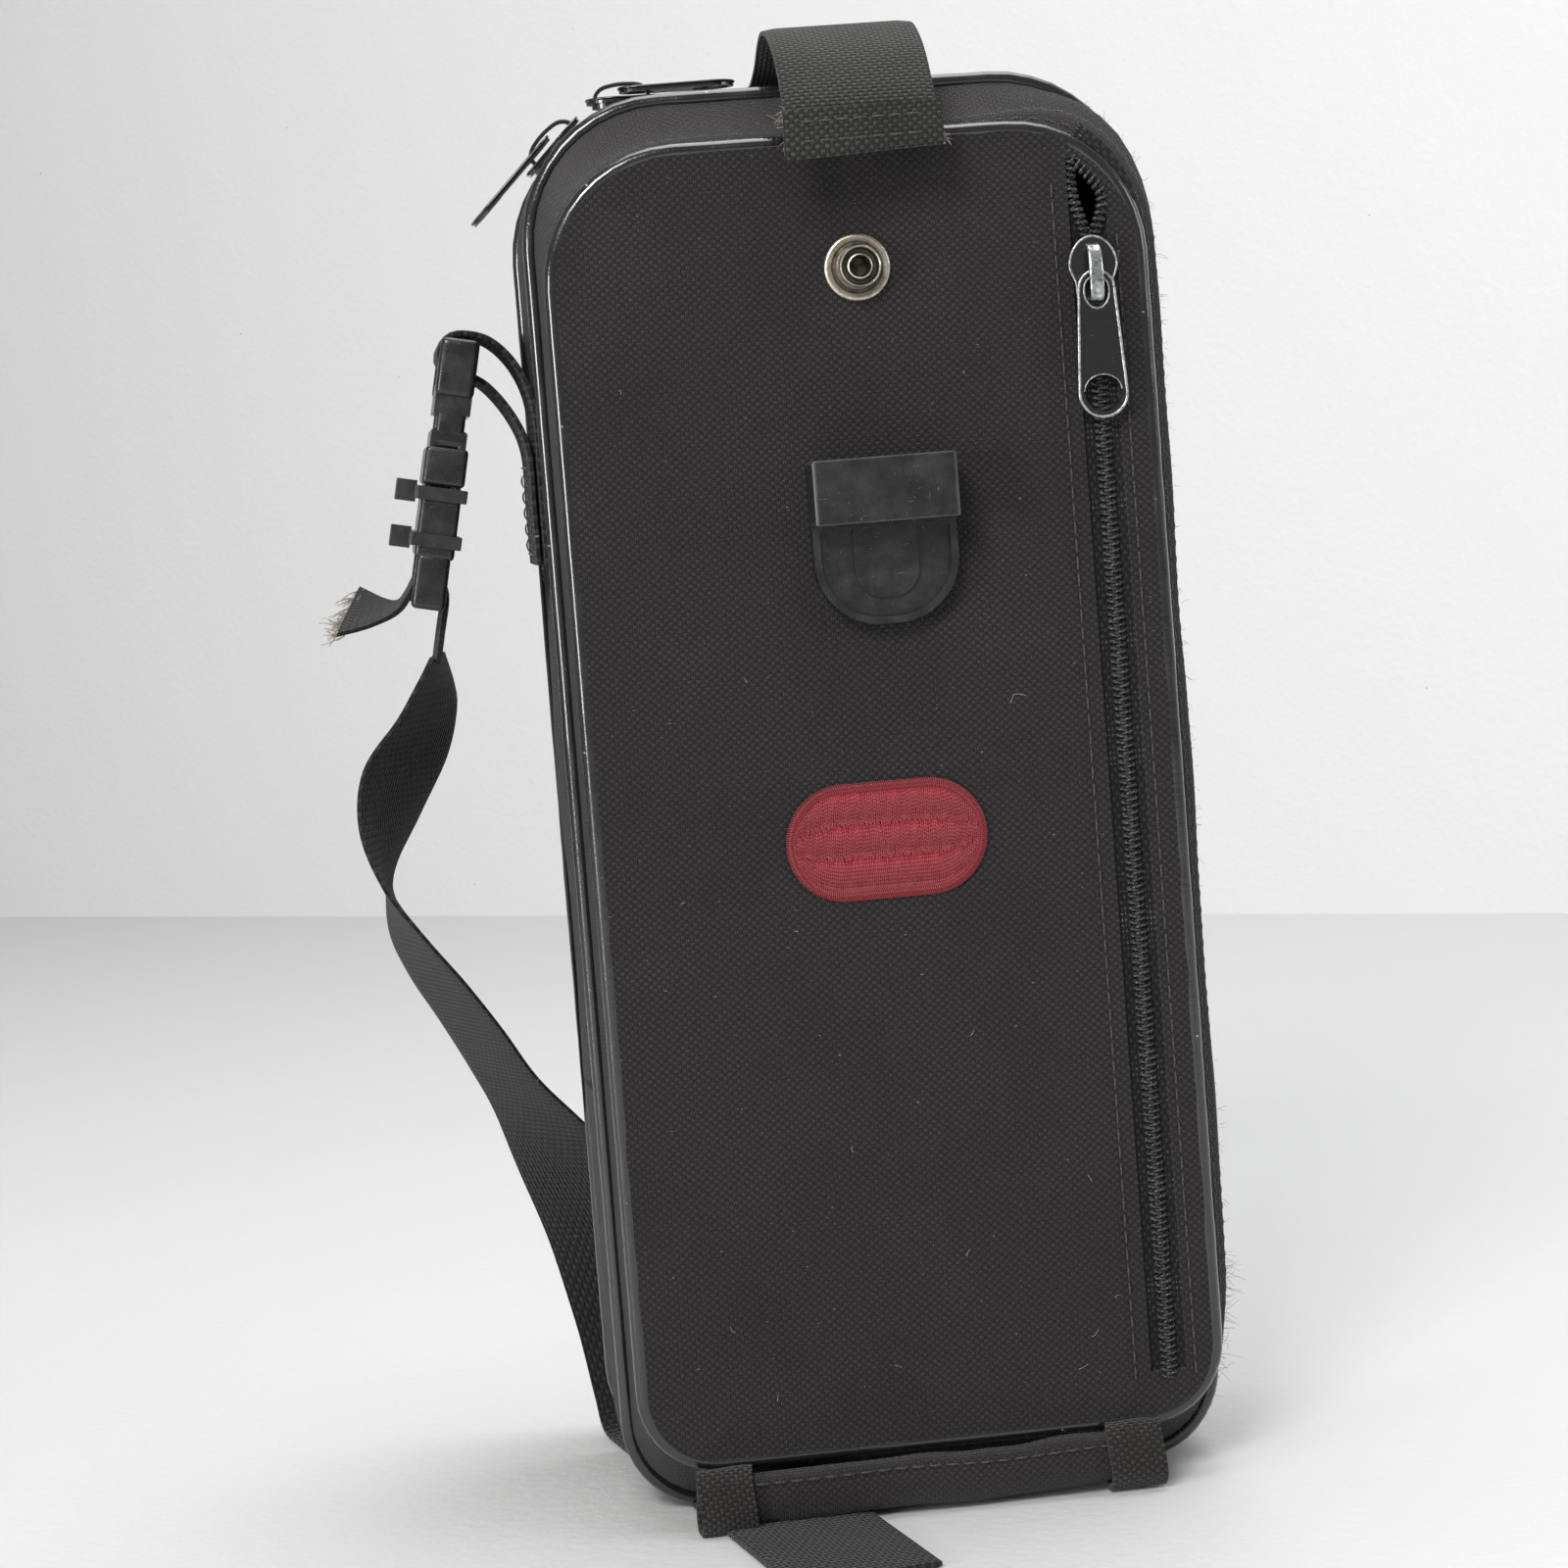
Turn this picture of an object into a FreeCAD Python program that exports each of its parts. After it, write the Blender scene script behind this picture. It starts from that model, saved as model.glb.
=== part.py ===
import FreeCAD, Part
import math
import os
import Sketcher

Vector = FreeCAD.Vector

doc = FreeCAD.newDocument("carrying_case")
sizes = doc.addObject("Spreadsheet::Sheet", "sizes")

# Driving dimensions in millimetres: alias, value, what it is.
# X runs to the right, Y to the back and Z up; the origin is on the standing face, under the middle.
DRIVING = [
    ("case_half", 57.5, "middle plane to the side face of the case"),
    ("case_low", 0.0, "outer face of the bottom gusset"),
    ("case_high", 269.5, "outer face of the top gusset"),
    ("case_corner_high", 26.0, "outline radius of the upper corners"),
    ("case_corner_low", 16.0, "outline radius of the lower corners"),
    ("back_y", 33.0, "outer face of the back panel"),
    ("cover_y", -15.0, "outer face of the cover, behind the pocket"),
    ("pocket_y", -33.4, "outer face of the pocket front"),
    ("fabric", 1.2, "outer fabric thickness"),
    ("foam", 4.0, "foam thickness of the sides and the back"),
    ("lining", 0.8, "lining thickness"),
    ("cover_foam_depth", 3.0, "foam thickness of the cover"),
    ("piping", 1.5, "radius of the vinyl piping"),
    ("fold_z", 81.0, "height of the line that the cover folds on"),
    ("fold_gap", 0.3, "half of the gap between the pieces above and below the fold"),
    ("zip_y", -3.0, "middle of the main zip"),
    ("zip_gap", 0.15, "half of the gap between two coil rows"),
    ("coil_wide", 1.7, "width of one coil row"),
    ("coil_rise", 0.5, "top of the main coil over the gusset face"),
    ("tape_sink", 0.6, "top of the main zip tape under the gusset face"),
    ("tape", 0.6, "thickness of a zip tape"),
    ("tape_rear_y", 4.0, "rear edge of the main zip tape"),
    ("tape_front_y", -9.0, "front edge of the main zip tape"),
    ("pocket_half", 55.0, "middle plane to the piping round the pocket front"),
    ("pocket_low", 13.0, "piping under the pocket front"),
    ("pocket_high", 258.5, "piping over the pocket front"),
    ("pocket_corner_high", 24.0, "outline radius of the upper pocket corners"),
    ("pocket_corner_low", 14.0, "outline radius of the lower pocket corners"),
    ("pocket_panel", 2.0, "pocket front fabric with its backing"),
    ("bulge_half", 61.0, "middle plane to the fullest part of the pocket gusset"),
    ("bulge_high", 268.0, "fullest part of the pocket gusset at the top"),
    ("bulge_low", 3.4, "lowest part of the pocket gusset in front"),
    ("gusset_low", 2.4, "lowest part of the pocket gusset at its rear seam"),
    ("bulge_y", -22.0, "depth of the fullest part of the pocket gusset"),
    ("pocket_zip_x", 45.5, "middle of the pocket zip"),
    ("pocket_zip_low", 22.0, "lower end of the pocket zip"),
    ("pocket_zip_high", 246.5, "upper end of the pocket zip"),
    ("pocket_zip_half", 3.6, "half of the zip's opening in the pocket front"),
    ("pocket_zip_spread", 1.5, "how far each row stands off at the open upper end"),
    ("pocket_slider_z", 230.0, "middle of the pocket slider"),
    ("pocket_coil_y", -33.9, "outer face of the pocket zip coil"),
    ("slider_long", 15.0, "slider body along the zip"),
    ("slider_wide", 9.0, "slider body across the zip"),
    ("slider_plate", 1.2, "slider plate thickness"),
    ("post_high", 1.8, "free height under the slider's bridge"),
    ("bridge_wide", 2.4, "width of the slider's bridge"),
    ("pull_thick", 1.1, "thickness of a zip pull"),
    ("pocket_pull_long", 26.0, "length of the pocket zip pull"),
    ("pocket_pull_wide", 8.6, "width of the pocket zip pull"),
    ("main_pull_long", 20.0, "length of a main zip pull"),
    ("main_pull_wide", 8.0, "width of a main zip pull"),
    ("top_slider_x", -36.5, "middle of the upper main slider"),
    ("stud_x", 1.5, "snap stud, sideways"),
    ("stud_z", 235.0, "snap stud, height"),
    ("stud_post", 4.1, "radius of the stud's post"),
    ("stud_flange", 6.25, "radius of the stud's flange"),
    ("stud_out", 5.5, "stud from the pocket front to its tip"),
    ("stud_hole", 1.55, "radius of the hole through the stud"),
    ("dock_x", 2.5, "clip dock, sideways"),
    ("dock_half", 13.5, "half width of the clip dock"),
    ("dock_low", 169.0, "lower end of the dock base"),
    ("dock_high", 200.0, "upper end of the dock"),
    ("dock_hood", 12.0, "height of the dock hood"),
    ("dock_out", 10.6, "dock hood from the pocket front to its face"),
    ("dock_plate", 2.6, "thickness of the dock base"),
    ("patch_x", -1.0, "embroidered patch, sideways"),
    ("patch_z", 128.5, "embroidered patch, height"),
    ("patch_half", 18.0, "half width of the patch"),
    ("patch_tall", 20.0, "height of the patch"),
    ("hem_y", -35.0, "middle of the rolled hem, depth"),
    ("hem_z", 5.6, "middle of the rolled hem, height"),
    ("hem_roll", 3.5, "radius of the rolled hem"),
    ("hem_left", -46.0, "left end of the rolled hem"),
    ("hem_right", 42.0, "right end of the rolled hem"),
    ("wrap_roll", 5.6, "outer radius of a webbing wrap"),
    ("wrap_wide", 10.0, "length of a webbing wrap along the hem"),
    ("webbing_wide", 28.0, "width of the webbing"),
    ("webbing", 1.5, "thickness of the webbing"),
    ("channel_wide", 29.2, "width of the channel that the strap presses into the bottom"),
    ("channel_high", 1.9, "height of that channel"),
    ("under_x", -36.0, "strap under the case, sideways, at the channel's middle"),
    ("under_y", 2.0, "strap under the case, depth, at the channel's middle"),
    ("tab_x", 3.0, "middle of the top tab"),
    ("tab_pivot_y", 16.0, "line that the top tab lifts on, depth"),
    ("tab_pivot_z", 273.0, "line that the top tab lifts on, height"),
    ("bar_x", -72.0, "buckle bar, sideways"),
    ("bar_y", 17.0, "buckle bar, middle of its length"),
    ("bar_z", 226.0, "buckle bar, height"),
    ("bar_radius", 1.8, "radius of the buckle bar"),
    ("buckle_half", 18.0, "half width of the buckle"),
    ("buckle_thick", 7.0, "thickness of the buckle"),
    ("rail", 3.2, "width of a buckle rail"),
]
for row, (alias, amount, note) in enumerate(DRIVING, start=1):
    sizes.set(f"A{row}", note)
    sizes.set(f"B{row}", str(amount))
    sizes.setAlias(f"B{row}", alias)
doc.recompute()

BUCKLE_TILT = 12.0
UNDER_TURN = 12.1
LEFT_SLIDER_ANGLE = 135.0
sub_parts = []


def value(expression):
    """The number that a sheet expression comes to."""
    return float(sizes.evalExpression(str(expression)))


def keep(item, label):
    """Name an object as a finished sub-part."""
    item.Label = label
    sub_parts.append(item)
    return item


def bind(item, **expressions):
    """Bind properties of an object to sheet expressions."""
    for name, expression in expressions.items():
        item.setExpression(name, str(expression))
    return item


def put(item, x=0, y=0, z=0, rotation=None):
    """Give an object its Placement: a position from the sheet and a fixed rotation."""
    if rotation is not None:
        item.Placement = FreeCAD.Placement(Vector(), rotation)
    item.setExpression(".Placement.Base.x", str(x))
    item.setExpression(".Placement.Base.y", str(y))
    item.setExpression(".Placement.Base.z", str(z))
    return item


# ---------------------------------------------------------------- outlines and sketches

def case_outline(inset=0):
    """Outline of the case, front view, moved inwards by inset."""
    return {
        "half": f"sizes.case_half - ({inset})",
        "low": f"sizes.case_low + ({inset})",
        "high": f"sizes.case_high - ({inset})",
        "corner_high": f"sizes.case_corner_high - ({inset})",
        "corner_low": f"sizes.case_corner_low - ({inset})",
    }


def pocket_outline(inset=0):
    """Outline of the piping round the pocket front, moved inwards by inset."""
    return {
        "half": f"sizes.pocket_half - ({inset})",
        "low": f"sizes.pocket_low + ({inset})",
        "high": f"sizes.pocket_high - ({inset})",
        "corner_high": f"sizes.pocket_corner_high - ({inset})",
        "corner_low": f"sizes.pocket_corner_low - ({inset})",
    }


def bulge_outline(inset=0):
    """Outline of the fullest part of the pocket gusset, moved inwards by inset."""
    return {
        "half": f"sizes.bulge_half - ({inset})",
        "low": f"sizes.bulge_low + ({inset})",
        "high": f"sizes.bulge_high - ({inset})",
        "corner_high": f"sizes.case_corner_high - ({inset})",
        "corner_low": f"sizes.case_corner_low - ({inset})",
    }


def slab_outline(half, low, high, corner_low, corner_high=None):
    """Outline of a small plate with round corners."""
    return {
        "half": half,
        "low": low,
        "high": high,
        "corner_high": corner_high or corner_low,
        "corner_low": corner_low,
    }


def dimension(sketch, kind, geometry, point, expression):
    """A sketch dimension from the origin to a point, bound to the sheet."""
    index = sketch.addConstraint(
        Sketcher.Constraint(kind, -1, 1, geometry, point, value(expression)))
    name = f"{kind}_{index}"
    sketch.renameConstraint(index, name)
    sketch.setExpression(f"Constraints.{name}", str(expression))


def radius(sketch, geometry, expression):
    """An arc's radius, bound to the sheet."""
    index = sketch.addConstraint(Sketcher.Constraint("Radius", geometry, value(expression)))
    name = f"radius_{index}"
    sketch.renameConstraint(index, name)
    sketch.setExpression(f"Constraints.{name}", str(expression))


def draw_round_box(sketch, outline):
    """A box with four round corners, symmetric about the sketch's vertical axis."""
    half = value(outline["half"])
    low = value(outline["low"])
    high = value(outline["high"])
    upper = value(outline["corner_high"])
    lower = value(outline["corner_low"])
    quarter = math.pi / 2

    def line(x0, y0, x1, y1):
        return Part.LineSegment(Vector(x0, y0, 0), Vector(x1, y1, 0))

    def corner(x, y, size, start):
        circle = Part.Circle(Vector(x, y, 0), Vector(0, 0, 1), size)
        return Part.ArcOfCircle(circle, start, start + quarter)

    first = sketch.GeometryCount
    sketch.addGeometry([
        line(-half + lower, low, half - lower, low),
        corner(half - lower, low + lower, lower, -quarter),
        line(half, low + lower, half, high - upper),
        corner(half - upper, high - upper, upper, 0),
        line(half - upper, high, -half + upper, high),
        corner(-half + upper, high - upper, upper, quarter),
        line(-half, high - upper, -half, low + lower),
        corner(-half + lower, low + lower, lower, 2 * quarter),
    ])
    for step in range(8):
        this = first + step
        following = first + (step + 1) % 8
        sketch.addConstraint(Sketcher.Constraint("Tangent", this, 2, following, 1))
    for step, kind in ((0, "Horizontal"), (2, "Vertical"), (4, "Horizontal"), (6, "Vertical")):
        sketch.addConstraint(Sketcher.Constraint(kind, first + step))
    sketch.addConstraint(Sketcher.Constraint("Equal", first + 1, first + 7))
    sketch.addConstraint(Sketcher.Constraint("Equal", first + 3, first + 5))
    radius(sketch, first + 1, outline["corner_low"])
    radius(sketch, first + 3, outline["corner_high"])
    dimension(sketch, "DistanceX", first + 2, 1, outline["half"])
    dimension(sketch, "DistanceX", first + 6, 1, f"-({outline['half']})")
    dimension(sketch, "DistanceY", first, 1, outline["low"])
    dimension(sketch, "DistanceY", first + 4, 1, outline["high"])


def draw_polygon(sketch, corners):
    """A straight-sided closed outline with every corner dimensioned."""
    first = sketch.GeometryCount
    count = len(corners)
    places = [Vector(value(x), value(y), 0) for x, y in corners]
    for step in range(count):
        sketch.addGeometry(Part.LineSegment(places[step], places[(step + 1) % count]))
    for step in range(count):
        following = first + (step + 1) % count
        sketch.addConstraint(Sketcher.Constraint("Coincident", first + step, 2, following, 1))
    for step, (x, y) in enumerate(corners):
        dimension(sketch, "DistanceX", first + step, 1, x)
        dimension(sketch, "DistanceY", first + step, 1, y)


def front_sketch(body, name, depth):
    """A sketch in a plane of constant Y; its vertical axis is Z."""
    sketch = body.newObject("Sketcher::SketchObject", name)
    for feature in body.Origin.OriginFeatures:
        if feature.Role == "XZ_Plane":
            sketch.AttachmentSupport = [(feature, "")]
    sketch.MapMode = "FlatFace"
    sketch.setExpression("AttachmentOffset.Base.z", f"-({depth})")
    return sketch


def plate(label, rear, front, outer, inner=()):
    """A flat body between two depths; inner outlines are holes through it."""
    body = doc.addObject("PartDesign::Body", label + "_body")
    sketch = front_sketch(body, label + "_outline", rear)
    draw_round_box(sketch, outer)
    for hole in inner:
        draw_round_box(sketch, hole)
    pad = body.newObject("PartDesign::Pad", label + "_pad")
    pad.Profile = sketch
    pad.setExpression("Length", f"({rear}) - ({front})")
    return body


def polygon_plate(label, rear, front, corners):
    """A flat body with a straight-sided outline."""
    body = doc.addObject("PartDesign::Body", label + "_body")
    sketch = front_sketch(body, label + "_outline", rear)
    draw_polygon(sketch, corners)
    pad = body.newObject("PartDesign::Pad", label + "_pad")
    pad.Profile = sketch
    pad.setExpression("Length", f"({rear}) - ({front})")
    return body


# ---------------------------------------------------------------- primitives and booleans

def box(name, low, high):
    """A box between two corners given as sheet expressions."""
    item = doc.addObject("Part::Box", name)
    bind(
        item,
        Length=f"({high[0]}) - ({low[0]})",
        Width=f"({high[1]}) - ({low[1]})",
        Height=f"({high[2]}) - ({low[2]})",
    )
    return put(item, *low)


def rod(name, size, length, start, direction):
    """A cylinder from a point along X, Y or Z; a minus sign reverses it."""
    turns = {
        "x": FreeCAD.Rotation(Vector(0, 1, 0), 90),
        "y": FreeCAD.Rotation(Vector(1, 0, 0), -90),
        "-y": FreeCAD.Rotation(Vector(1, 0, 0), 90),
        "z": FreeCAD.Rotation(),
    }
    item = doc.addObject("Part::Cylinder", name)
    bind(item, Radius=size, Height=length)
    return put(item, *start, rotation=turns[direction])


def fuse(name, *items):
    joined = doc.addObject("Part::MultiFuse", name)
    joined.Shapes = list(items)
    joined.Refine = True
    return joined


def cut(name, base, tool):
    item = doc.addObject("Part::Cut", name)
    item.Base = base
    item.Tool = tool
    return item


def common(name, base, tool):
    item = doc.addObject("Part::Common", name)
    item.Base = base
    item.Tool = tool
    return item


REACH = 400


def over_strap(name, item):
    """A piece at the bottom of the case, pressed up where it stands on the shoulder strap."""
    long = 120
    turn = math.radians(UNDER_TURN)
    wide = value("sizes.channel_wide")
    corner_x = -wide / 2 * math.cos(turn) + long / 2 * math.sin(turn)
    corner_y = -wide / 2 * math.sin(turn) - long / 2 * math.cos(turn)
    channel = doc.addObject("Part::Box", name + "_channel")
    bind(channel, Length="sizes.channel_wide", Width=long, Height="sizes.channel_high + 1")
    put(channel, f"sizes.under_x + {corner_x}", f"sizes.under_y + {corner_y}", -1,
        FreeCAD.Rotation(Vector(0, 0, 1), UNDER_TURN))
    return cut(name, item, channel)


def above_fold(label, source):
    """The stretch of a piece above the fold, as a sub-part."""
    room = box(
        label + "_room",
        (-REACH, -REACH, "sizes.fold_z + sizes.fold_gap"),
        (REACH, REACH, REACH))
    return keep(common(label + "_cut", source, room), label)


def below_fold(label, source):
    """The stretch of a piece below the fold, as a sub-part."""
    room = box(
        label + "_room",
        (-REACH, -REACH, -REACH),
        (REACH, REACH, "sizes.fold_z - sizes.fold_gap"))
    return keep(common(label + "_cut", source, room), label)


# ---------------------------------------------------------------- swept pieces

def section(centre, across, along, wide, thick):
    """Rectangular cross-section of webbing at a station."""
    across = Vector(across).normalize()
    along = Vector(along).normalize()
    face = along.cross(across).normalize()
    across = face.cross(along).normalize()
    corners = []
    for side, cover in ((-1, -1), (1, -1), (1, 1), (-1, 1)):
        corners.append(centre + across * (side * wide / 2) + face * (cover * thick / 2))
    return Part.makePolygon(corners + corners[:1])


def webbing_strip(label, stations, placement=None):
    """Flat webbing through stations of (centre, direction across the width)."""
    wide = value("sizes.webbing_wide")
    thick = value("sizes.webbing")
    sections = []
    for index, (centre, across) in enumerate(stations):
        before = stations[max(index - 1, 0)][0]
        after = stations[min(index + 1, len(stations) - 1)][0]
        along = Vector(*after) - Vector(*before)
        sections.append(section(Vector(*centre), Vector(*across), along, wide, thick))
    item = doc.addObject("Part::Feature", label)
    item.Shape = Part.makeLoft(sections, True, True)
    if placement:
        item.Placement = placement
    return keep(item, label)


def piping_ring(name, outline, depth, low=None):
    """Round piping along an outline at one depth."""
    body = doc.addObject("PartDesign::Body", name + "_body")
    if low is not None:
        outline = dict(outline, low=low)
    path = front_sketch(body, name + "_path", depth)
    draw_round_box(path, outline)
    profile = body.newObject("Sketcher::SketchObject", name + "_profile")
    for feature in body.Origin.OriginFeatures:
        if feature.Role == "XY_Plane":
            profile.AttachmentSupport = [(feature, "")]
    profile.MapMode = "FlatFace"
    profile.setExpression("AttachmentOffset.Base.z", "sizes.fold_z")
    centre = Vector(value(outline["half"]), value(depth), 0)
    profile.addGeometry(Part.Circle(centre, Vector(0, 0, 1), value("sizes.piping")))
    radius(profile, 0, "sizes.piping")
    dimension(profile, "DistanceX", 0, 3, outline["half"])
    dimension(profile, "DistanceY", 0, 3, depth)
    pipe = body.newObject("PartDesign::AdditivePipe", name + "_pipe")
    pipe.Profile = profile
    pipe.Spine = (path, [])
    return body


# ---------------------------------------------------------------- the case

def back():
    """Back panel in three layers, with the rear piping round its edge."""
    outer = dict(case_outline("sizes.piping"), low="2 * sizes.piping")
    inner = case_outline("sizes.fabric + sizes.foam + sizes.lining + 0.05")
    fabric_front = "sizes.back_y - sizes.fabric"
    foam_front = f"{fabric_front} - sizes.foam"
    lining_front = f"{foam_front} - sizes.lining"
    keep(plate("back_panel", "sizes.back_y", fabric_front, outer), "back_panel")
    keep(plate("back_foam", fabric_front, foam_front, inner), "back_foam")
    keep(plate("back_lining", foam_front, lining_front, inner), "back_lining")
    ring = piping_ring("rear_ring", case_outline(), "sizes.back_y", low="sizes.piping")
    keep(over_strap("rear_piping_cut", ring), "rear_piping")


def side_layers():
    """Upper gusset, behind the zip, in three layers; it ends at the horizontal seam."""
    front = "sizes.tape_rear_y"
    rear = "sizes.back_y - sizes.piping"
    edges = ["0", "sizes.fabric", "sizes.fabric + sizes.foam",
             "sizes.fabric + sizes.foam + sizes.lining"]
    for index, label in enumerate(("side_gusset", "side_foam", "side_lining")):
        ring = plate(label + "_ring", rear, front,
                     case_outline(edges[index]), [case_outline(edges[index + 1])])
        above_fold(label, ring)


def bottom_layers():
    """Lower gusset under the horizontal seam, full depth, in three layers."""
    front = "sizes.cover_y + sizes.piping"
    rear = "sizes.back_y - sizes.piping"
    edges = ["0", "sizes.fabric", "sizes.fabric + sizes.foam",
             "sizes.fabric + sizes.foam + sizes.lining"]
    for index, label in enumerate(("bottom_gusset", "bottom_foam", "bottom_lining")):
        ring = plate(label + "_ring", rear, front,
                     case_outline(edges[index]), [case_outline(edges[index + 1])])
        below_fold(label, over_strap(label + "_pressed", ring))


def main_zip():
    """Zip round the sides and top: a rear half on the case and a front half on the cover."""
    tape_top = "sizes.tape_sink"
    tape_under = "sizes.tape_sink + sizes.tape"
    coil_top = "-sizes.coil_rise"
    rear_edge = "sizes.zip_y + sizes.zip_gap"
    front_edge = "sizes.zip_y - sizes.zip_gap"
    rows = [
        ("main_tape_rear", "sizes.tape_rear_y", rear_edge, tape_top, tape_under),
        ("main_coil_rear", f"{rear_edge} + sizes.coil_wide", rear_edge, coil_top, tape_top),
        ("main_tape_front", front_edge, "sizes.tape_front_y", tape_top, tape_under),
        ("main_coil_front", front_edge, f"{front_edge} - sizes.coil_wide", coil_top, tape_top),
    ]
    for label, rear, front, outside, inside in rows:
        ring = plate(label + "_ring", rear, front, case_outline(outside), [case_outline(inside)])
        above_fold(label, ring)


def cover_layers():
    """Front wall of the main compartment, in three layers, with its gusset band and piping."""
    inner = case_outline("sizes.fabric + sizes.foam + sizes.lining + 0.05")
    fabric_rear = "sizes.cover_y + 1.1"
    foam_rear = f"{fabric_rear} + sizes.cover_foam_depth"
    lining_rear = f"{foam_rear} + sizes.lining"
    outer = dict(case_outline("sizes.piping"), low="2 * sizes.piping")
    wall = plate("cover_wall", fabric_rear, "sizes.cover_y", outer)
    padding = plate("cover_padding", foam_rear, fabric_rear, inner)
    liner = plate("cover_liner", lining_rear, foam_rear, inner)
    ring = piping_ring("cover_ring", case_outline(), "sizes.cover_y", low="sizes.piping")
    above_fold("cover_panel", wall)
    below_fold("lower_cover_panel", wall)
    above_fold("cover_foam", padding)
    below_fold("lower_cover_foam", padding)
    above_fold("cover_lining", liner)
    below_fold("lower_cover_lining", liner)
    above_fold("cover_piping", ring)
    below_fold("lower_cover_piping", over_strap("cover_ring_pressed", ring))
    band = plate(
        "front_band", "sizes.tape_front_y", "sizes.cover_y + sizes.piping",
        case_outline(), [case_outline("sizes.fabric")])
    above_fold("front_gusset", band)


def gusset_skin(name, inset):
    """Solid inside the pocket gusset's skin: three outlines joined by straight walls."""
    body = doc.addObject("PartDesign::Body", name + "_body")
    rear = dict(case_outline(f"({inset}) - 1"), low=f"sizes.gusset_low + ({inset})")
    stations = [
        ("sizes.cover_y - sizes.piping", rear),
        ("sizes.bulge_y", bulge_outline(inset)),
        ("sizes.pocket_y + 2.9", pocket_outline(f"({inset}) - 1")),
    ]
    sketches = []
    for index, (depth, outline) in enumerate(stations):
        sketch = front_sketch(body, f"{name}_section_{index}", depth)
        draw_round_box(sketch, outline)
        sketches.append(sketch)
    loft = body.newObject("PartDesign::AdditiveLoft", name + "_loft")
    loft.Profile = sketches[0]
    loft.Sections = sketches[1:]
    loft.Ruled = True
    return body


def pocket_shell():
    """Pocket gusset, its piping, and the pocket front with the openings for zip and stud."""
    gusset = cut("pocket_gusset_wall", gusset_skin("gusset_outside", "0"),
                 gusset_skin("gusset_inside", "1.4"))
    above_fold("pocket_gusset", gusset)
    below_fold("lower_pocket_gusset", gusset)
    piping_y = "sizes.pocket_y + 1.4"
    ring = piping_ring("pocket_ring", pocket_outline(), piping_y)
    above_fold("pocket_piping", ring)
    below_fold("lower_pocket_piping", ring)
    panel = plate("front_sheet", "sizes.pocket_y + sizes.pocket_panel", "sizes.pocket_y",
                  pocket_outline("sizes.piping"))
    zip_slot = box(
        "zip_slot",
        ("sizes.pocket_zip_x - sizes.pocket_zip_half", "sizes.pocket_y - 1", "sizes.pocket_zip_low"),
        ("sizes.pocket_zip_x + sizes.pocket_zip_half", "sizes.pocket_y + 4", "sizes.pocket_zip_high"))
    stud_slot = rod("stud_slot", "sizes.stud_hole", 8,
                    ("sizes.stud_x", "sizes.pocket_y + 4", "sizes.stud_z"), "-y")
    opened = cut("front_opened", panel, fuse("front_slots", zip_slot, stud_slot))
    above_fold("pocket_front", opened)
    below_fold("lower_pocket_front", opened)


def pocket_zip():
    """Pocket zip: straight and closed below the slider, two rows standing apart above it."""
    middle = "sizes.pocket_zip_x"
    edge = "sizes.pocket_zip_half"
    low = "sizes.fold_z + sizes.fold_gap"
    high = "sizes.pocket_zip_high"
    turn = "sizes.pocket_slider_z"
    spread = "sizes.pocket_zip_spread"
    tape_rear = "sizes.pocket_coil_y + 1.5"
    tape_front = "sizes.pocket_coil_y + 0.9"
    for side, sign in (("left", "-"), ("right", "+")):
        inner = f"{middle} {sign} sizes.zip_gap"
        outer = f"{middle} {sign} {edge}"
        coil_outer = f"{middle} {sign} (sizes.zip_gap + sizes.coil_wide)"
        tape_corners = [
            (outer, low), (inner, low), (inner, turn),
            (f"{inner} {sign} {spread}", high), (outer, high)]
        coil_corners = [
            (coil_outer, low), (inner, low), (inner, turn),
            (f"{inner} {sign} {spread}", high),
            (f"{coil_outer} {sign} {spread}", high), (coil_outer, turn)]
        tape = polygon_plate("pocket_tape_" + side, tape_rear, tape_front, tape_corners)
        keep(tape, "pocket_tape_" + side)
        coil = polygon_plate("pocket_coil_" + side, tape_front, "sizes.pocket_coil_y", coil_corners)
        keep(coil, "pocket_coil_" + side)
    low = "sizes.pocket_zip_low"
    high = "sizes.fold_z - sizes.fold_gap"
    strips = [
        ("lower_pocket_tapes", edge, tape_rear, tape_front),
        ("lower_pocket_coils", "sizes.zip_gap + sizes.coil_wide", tape_front, "sizes.pocket_coil_y"),
    ]
    for label, reach, rear, front in strips:
        left = box(label + "_left",
                   (f"{middle} - ({reach})", front, low), (f"{middle} - sizes.zip_gap", rear, high))
        right = box(label + "_right",
                    (f"{middle} + sizes.zip_gap", front, low), (f"{middle} + {reach}", rear, high))
        keep(fuse(label + "_pair", left, right), label)


def hem():
    """Rolled fabric hem under the pocket front, with a webbing wrap round each end."""
    start = ("sizes.hem_left", "sizes.hem_y", "sizes.hem_z")
    roll = rod("hem_core", "sizes.hem_roll", "sizes.hem_right - sizes.hem_left", start, "x")
    keep(roll, "hem_roll")
    ends = [("left", "sizes.hem_left", "1.8"), ("right", "sizes.hem_right - sizes.wrap_wide", "0")]
    for side, begin, under in ends:
        place = (begin, "sizes.hem_y", "sizes.hem_z")
        outside = rod(f"wrap_{side}_outside", "sizes.wrap_roll", "sizes.wrap_wide", place, "x")
        inside = rod(f"wrap_{side}_inside", "sizes.hem_roll", "sizes.wrap_wide", place, "x")
        tube = cut(f"wrap_{side}_tube", outside, inside)
        room = box(f"wrap_{side}_room", (-REACH, -REACH, under), (REACH, REACH, REACH))
        keep(common(f"wrap_{side}_trimmed", tube, room), "hem_wrap_" + side)


# ---------------------------------------------------------------- metal and plastic on the front

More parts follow.
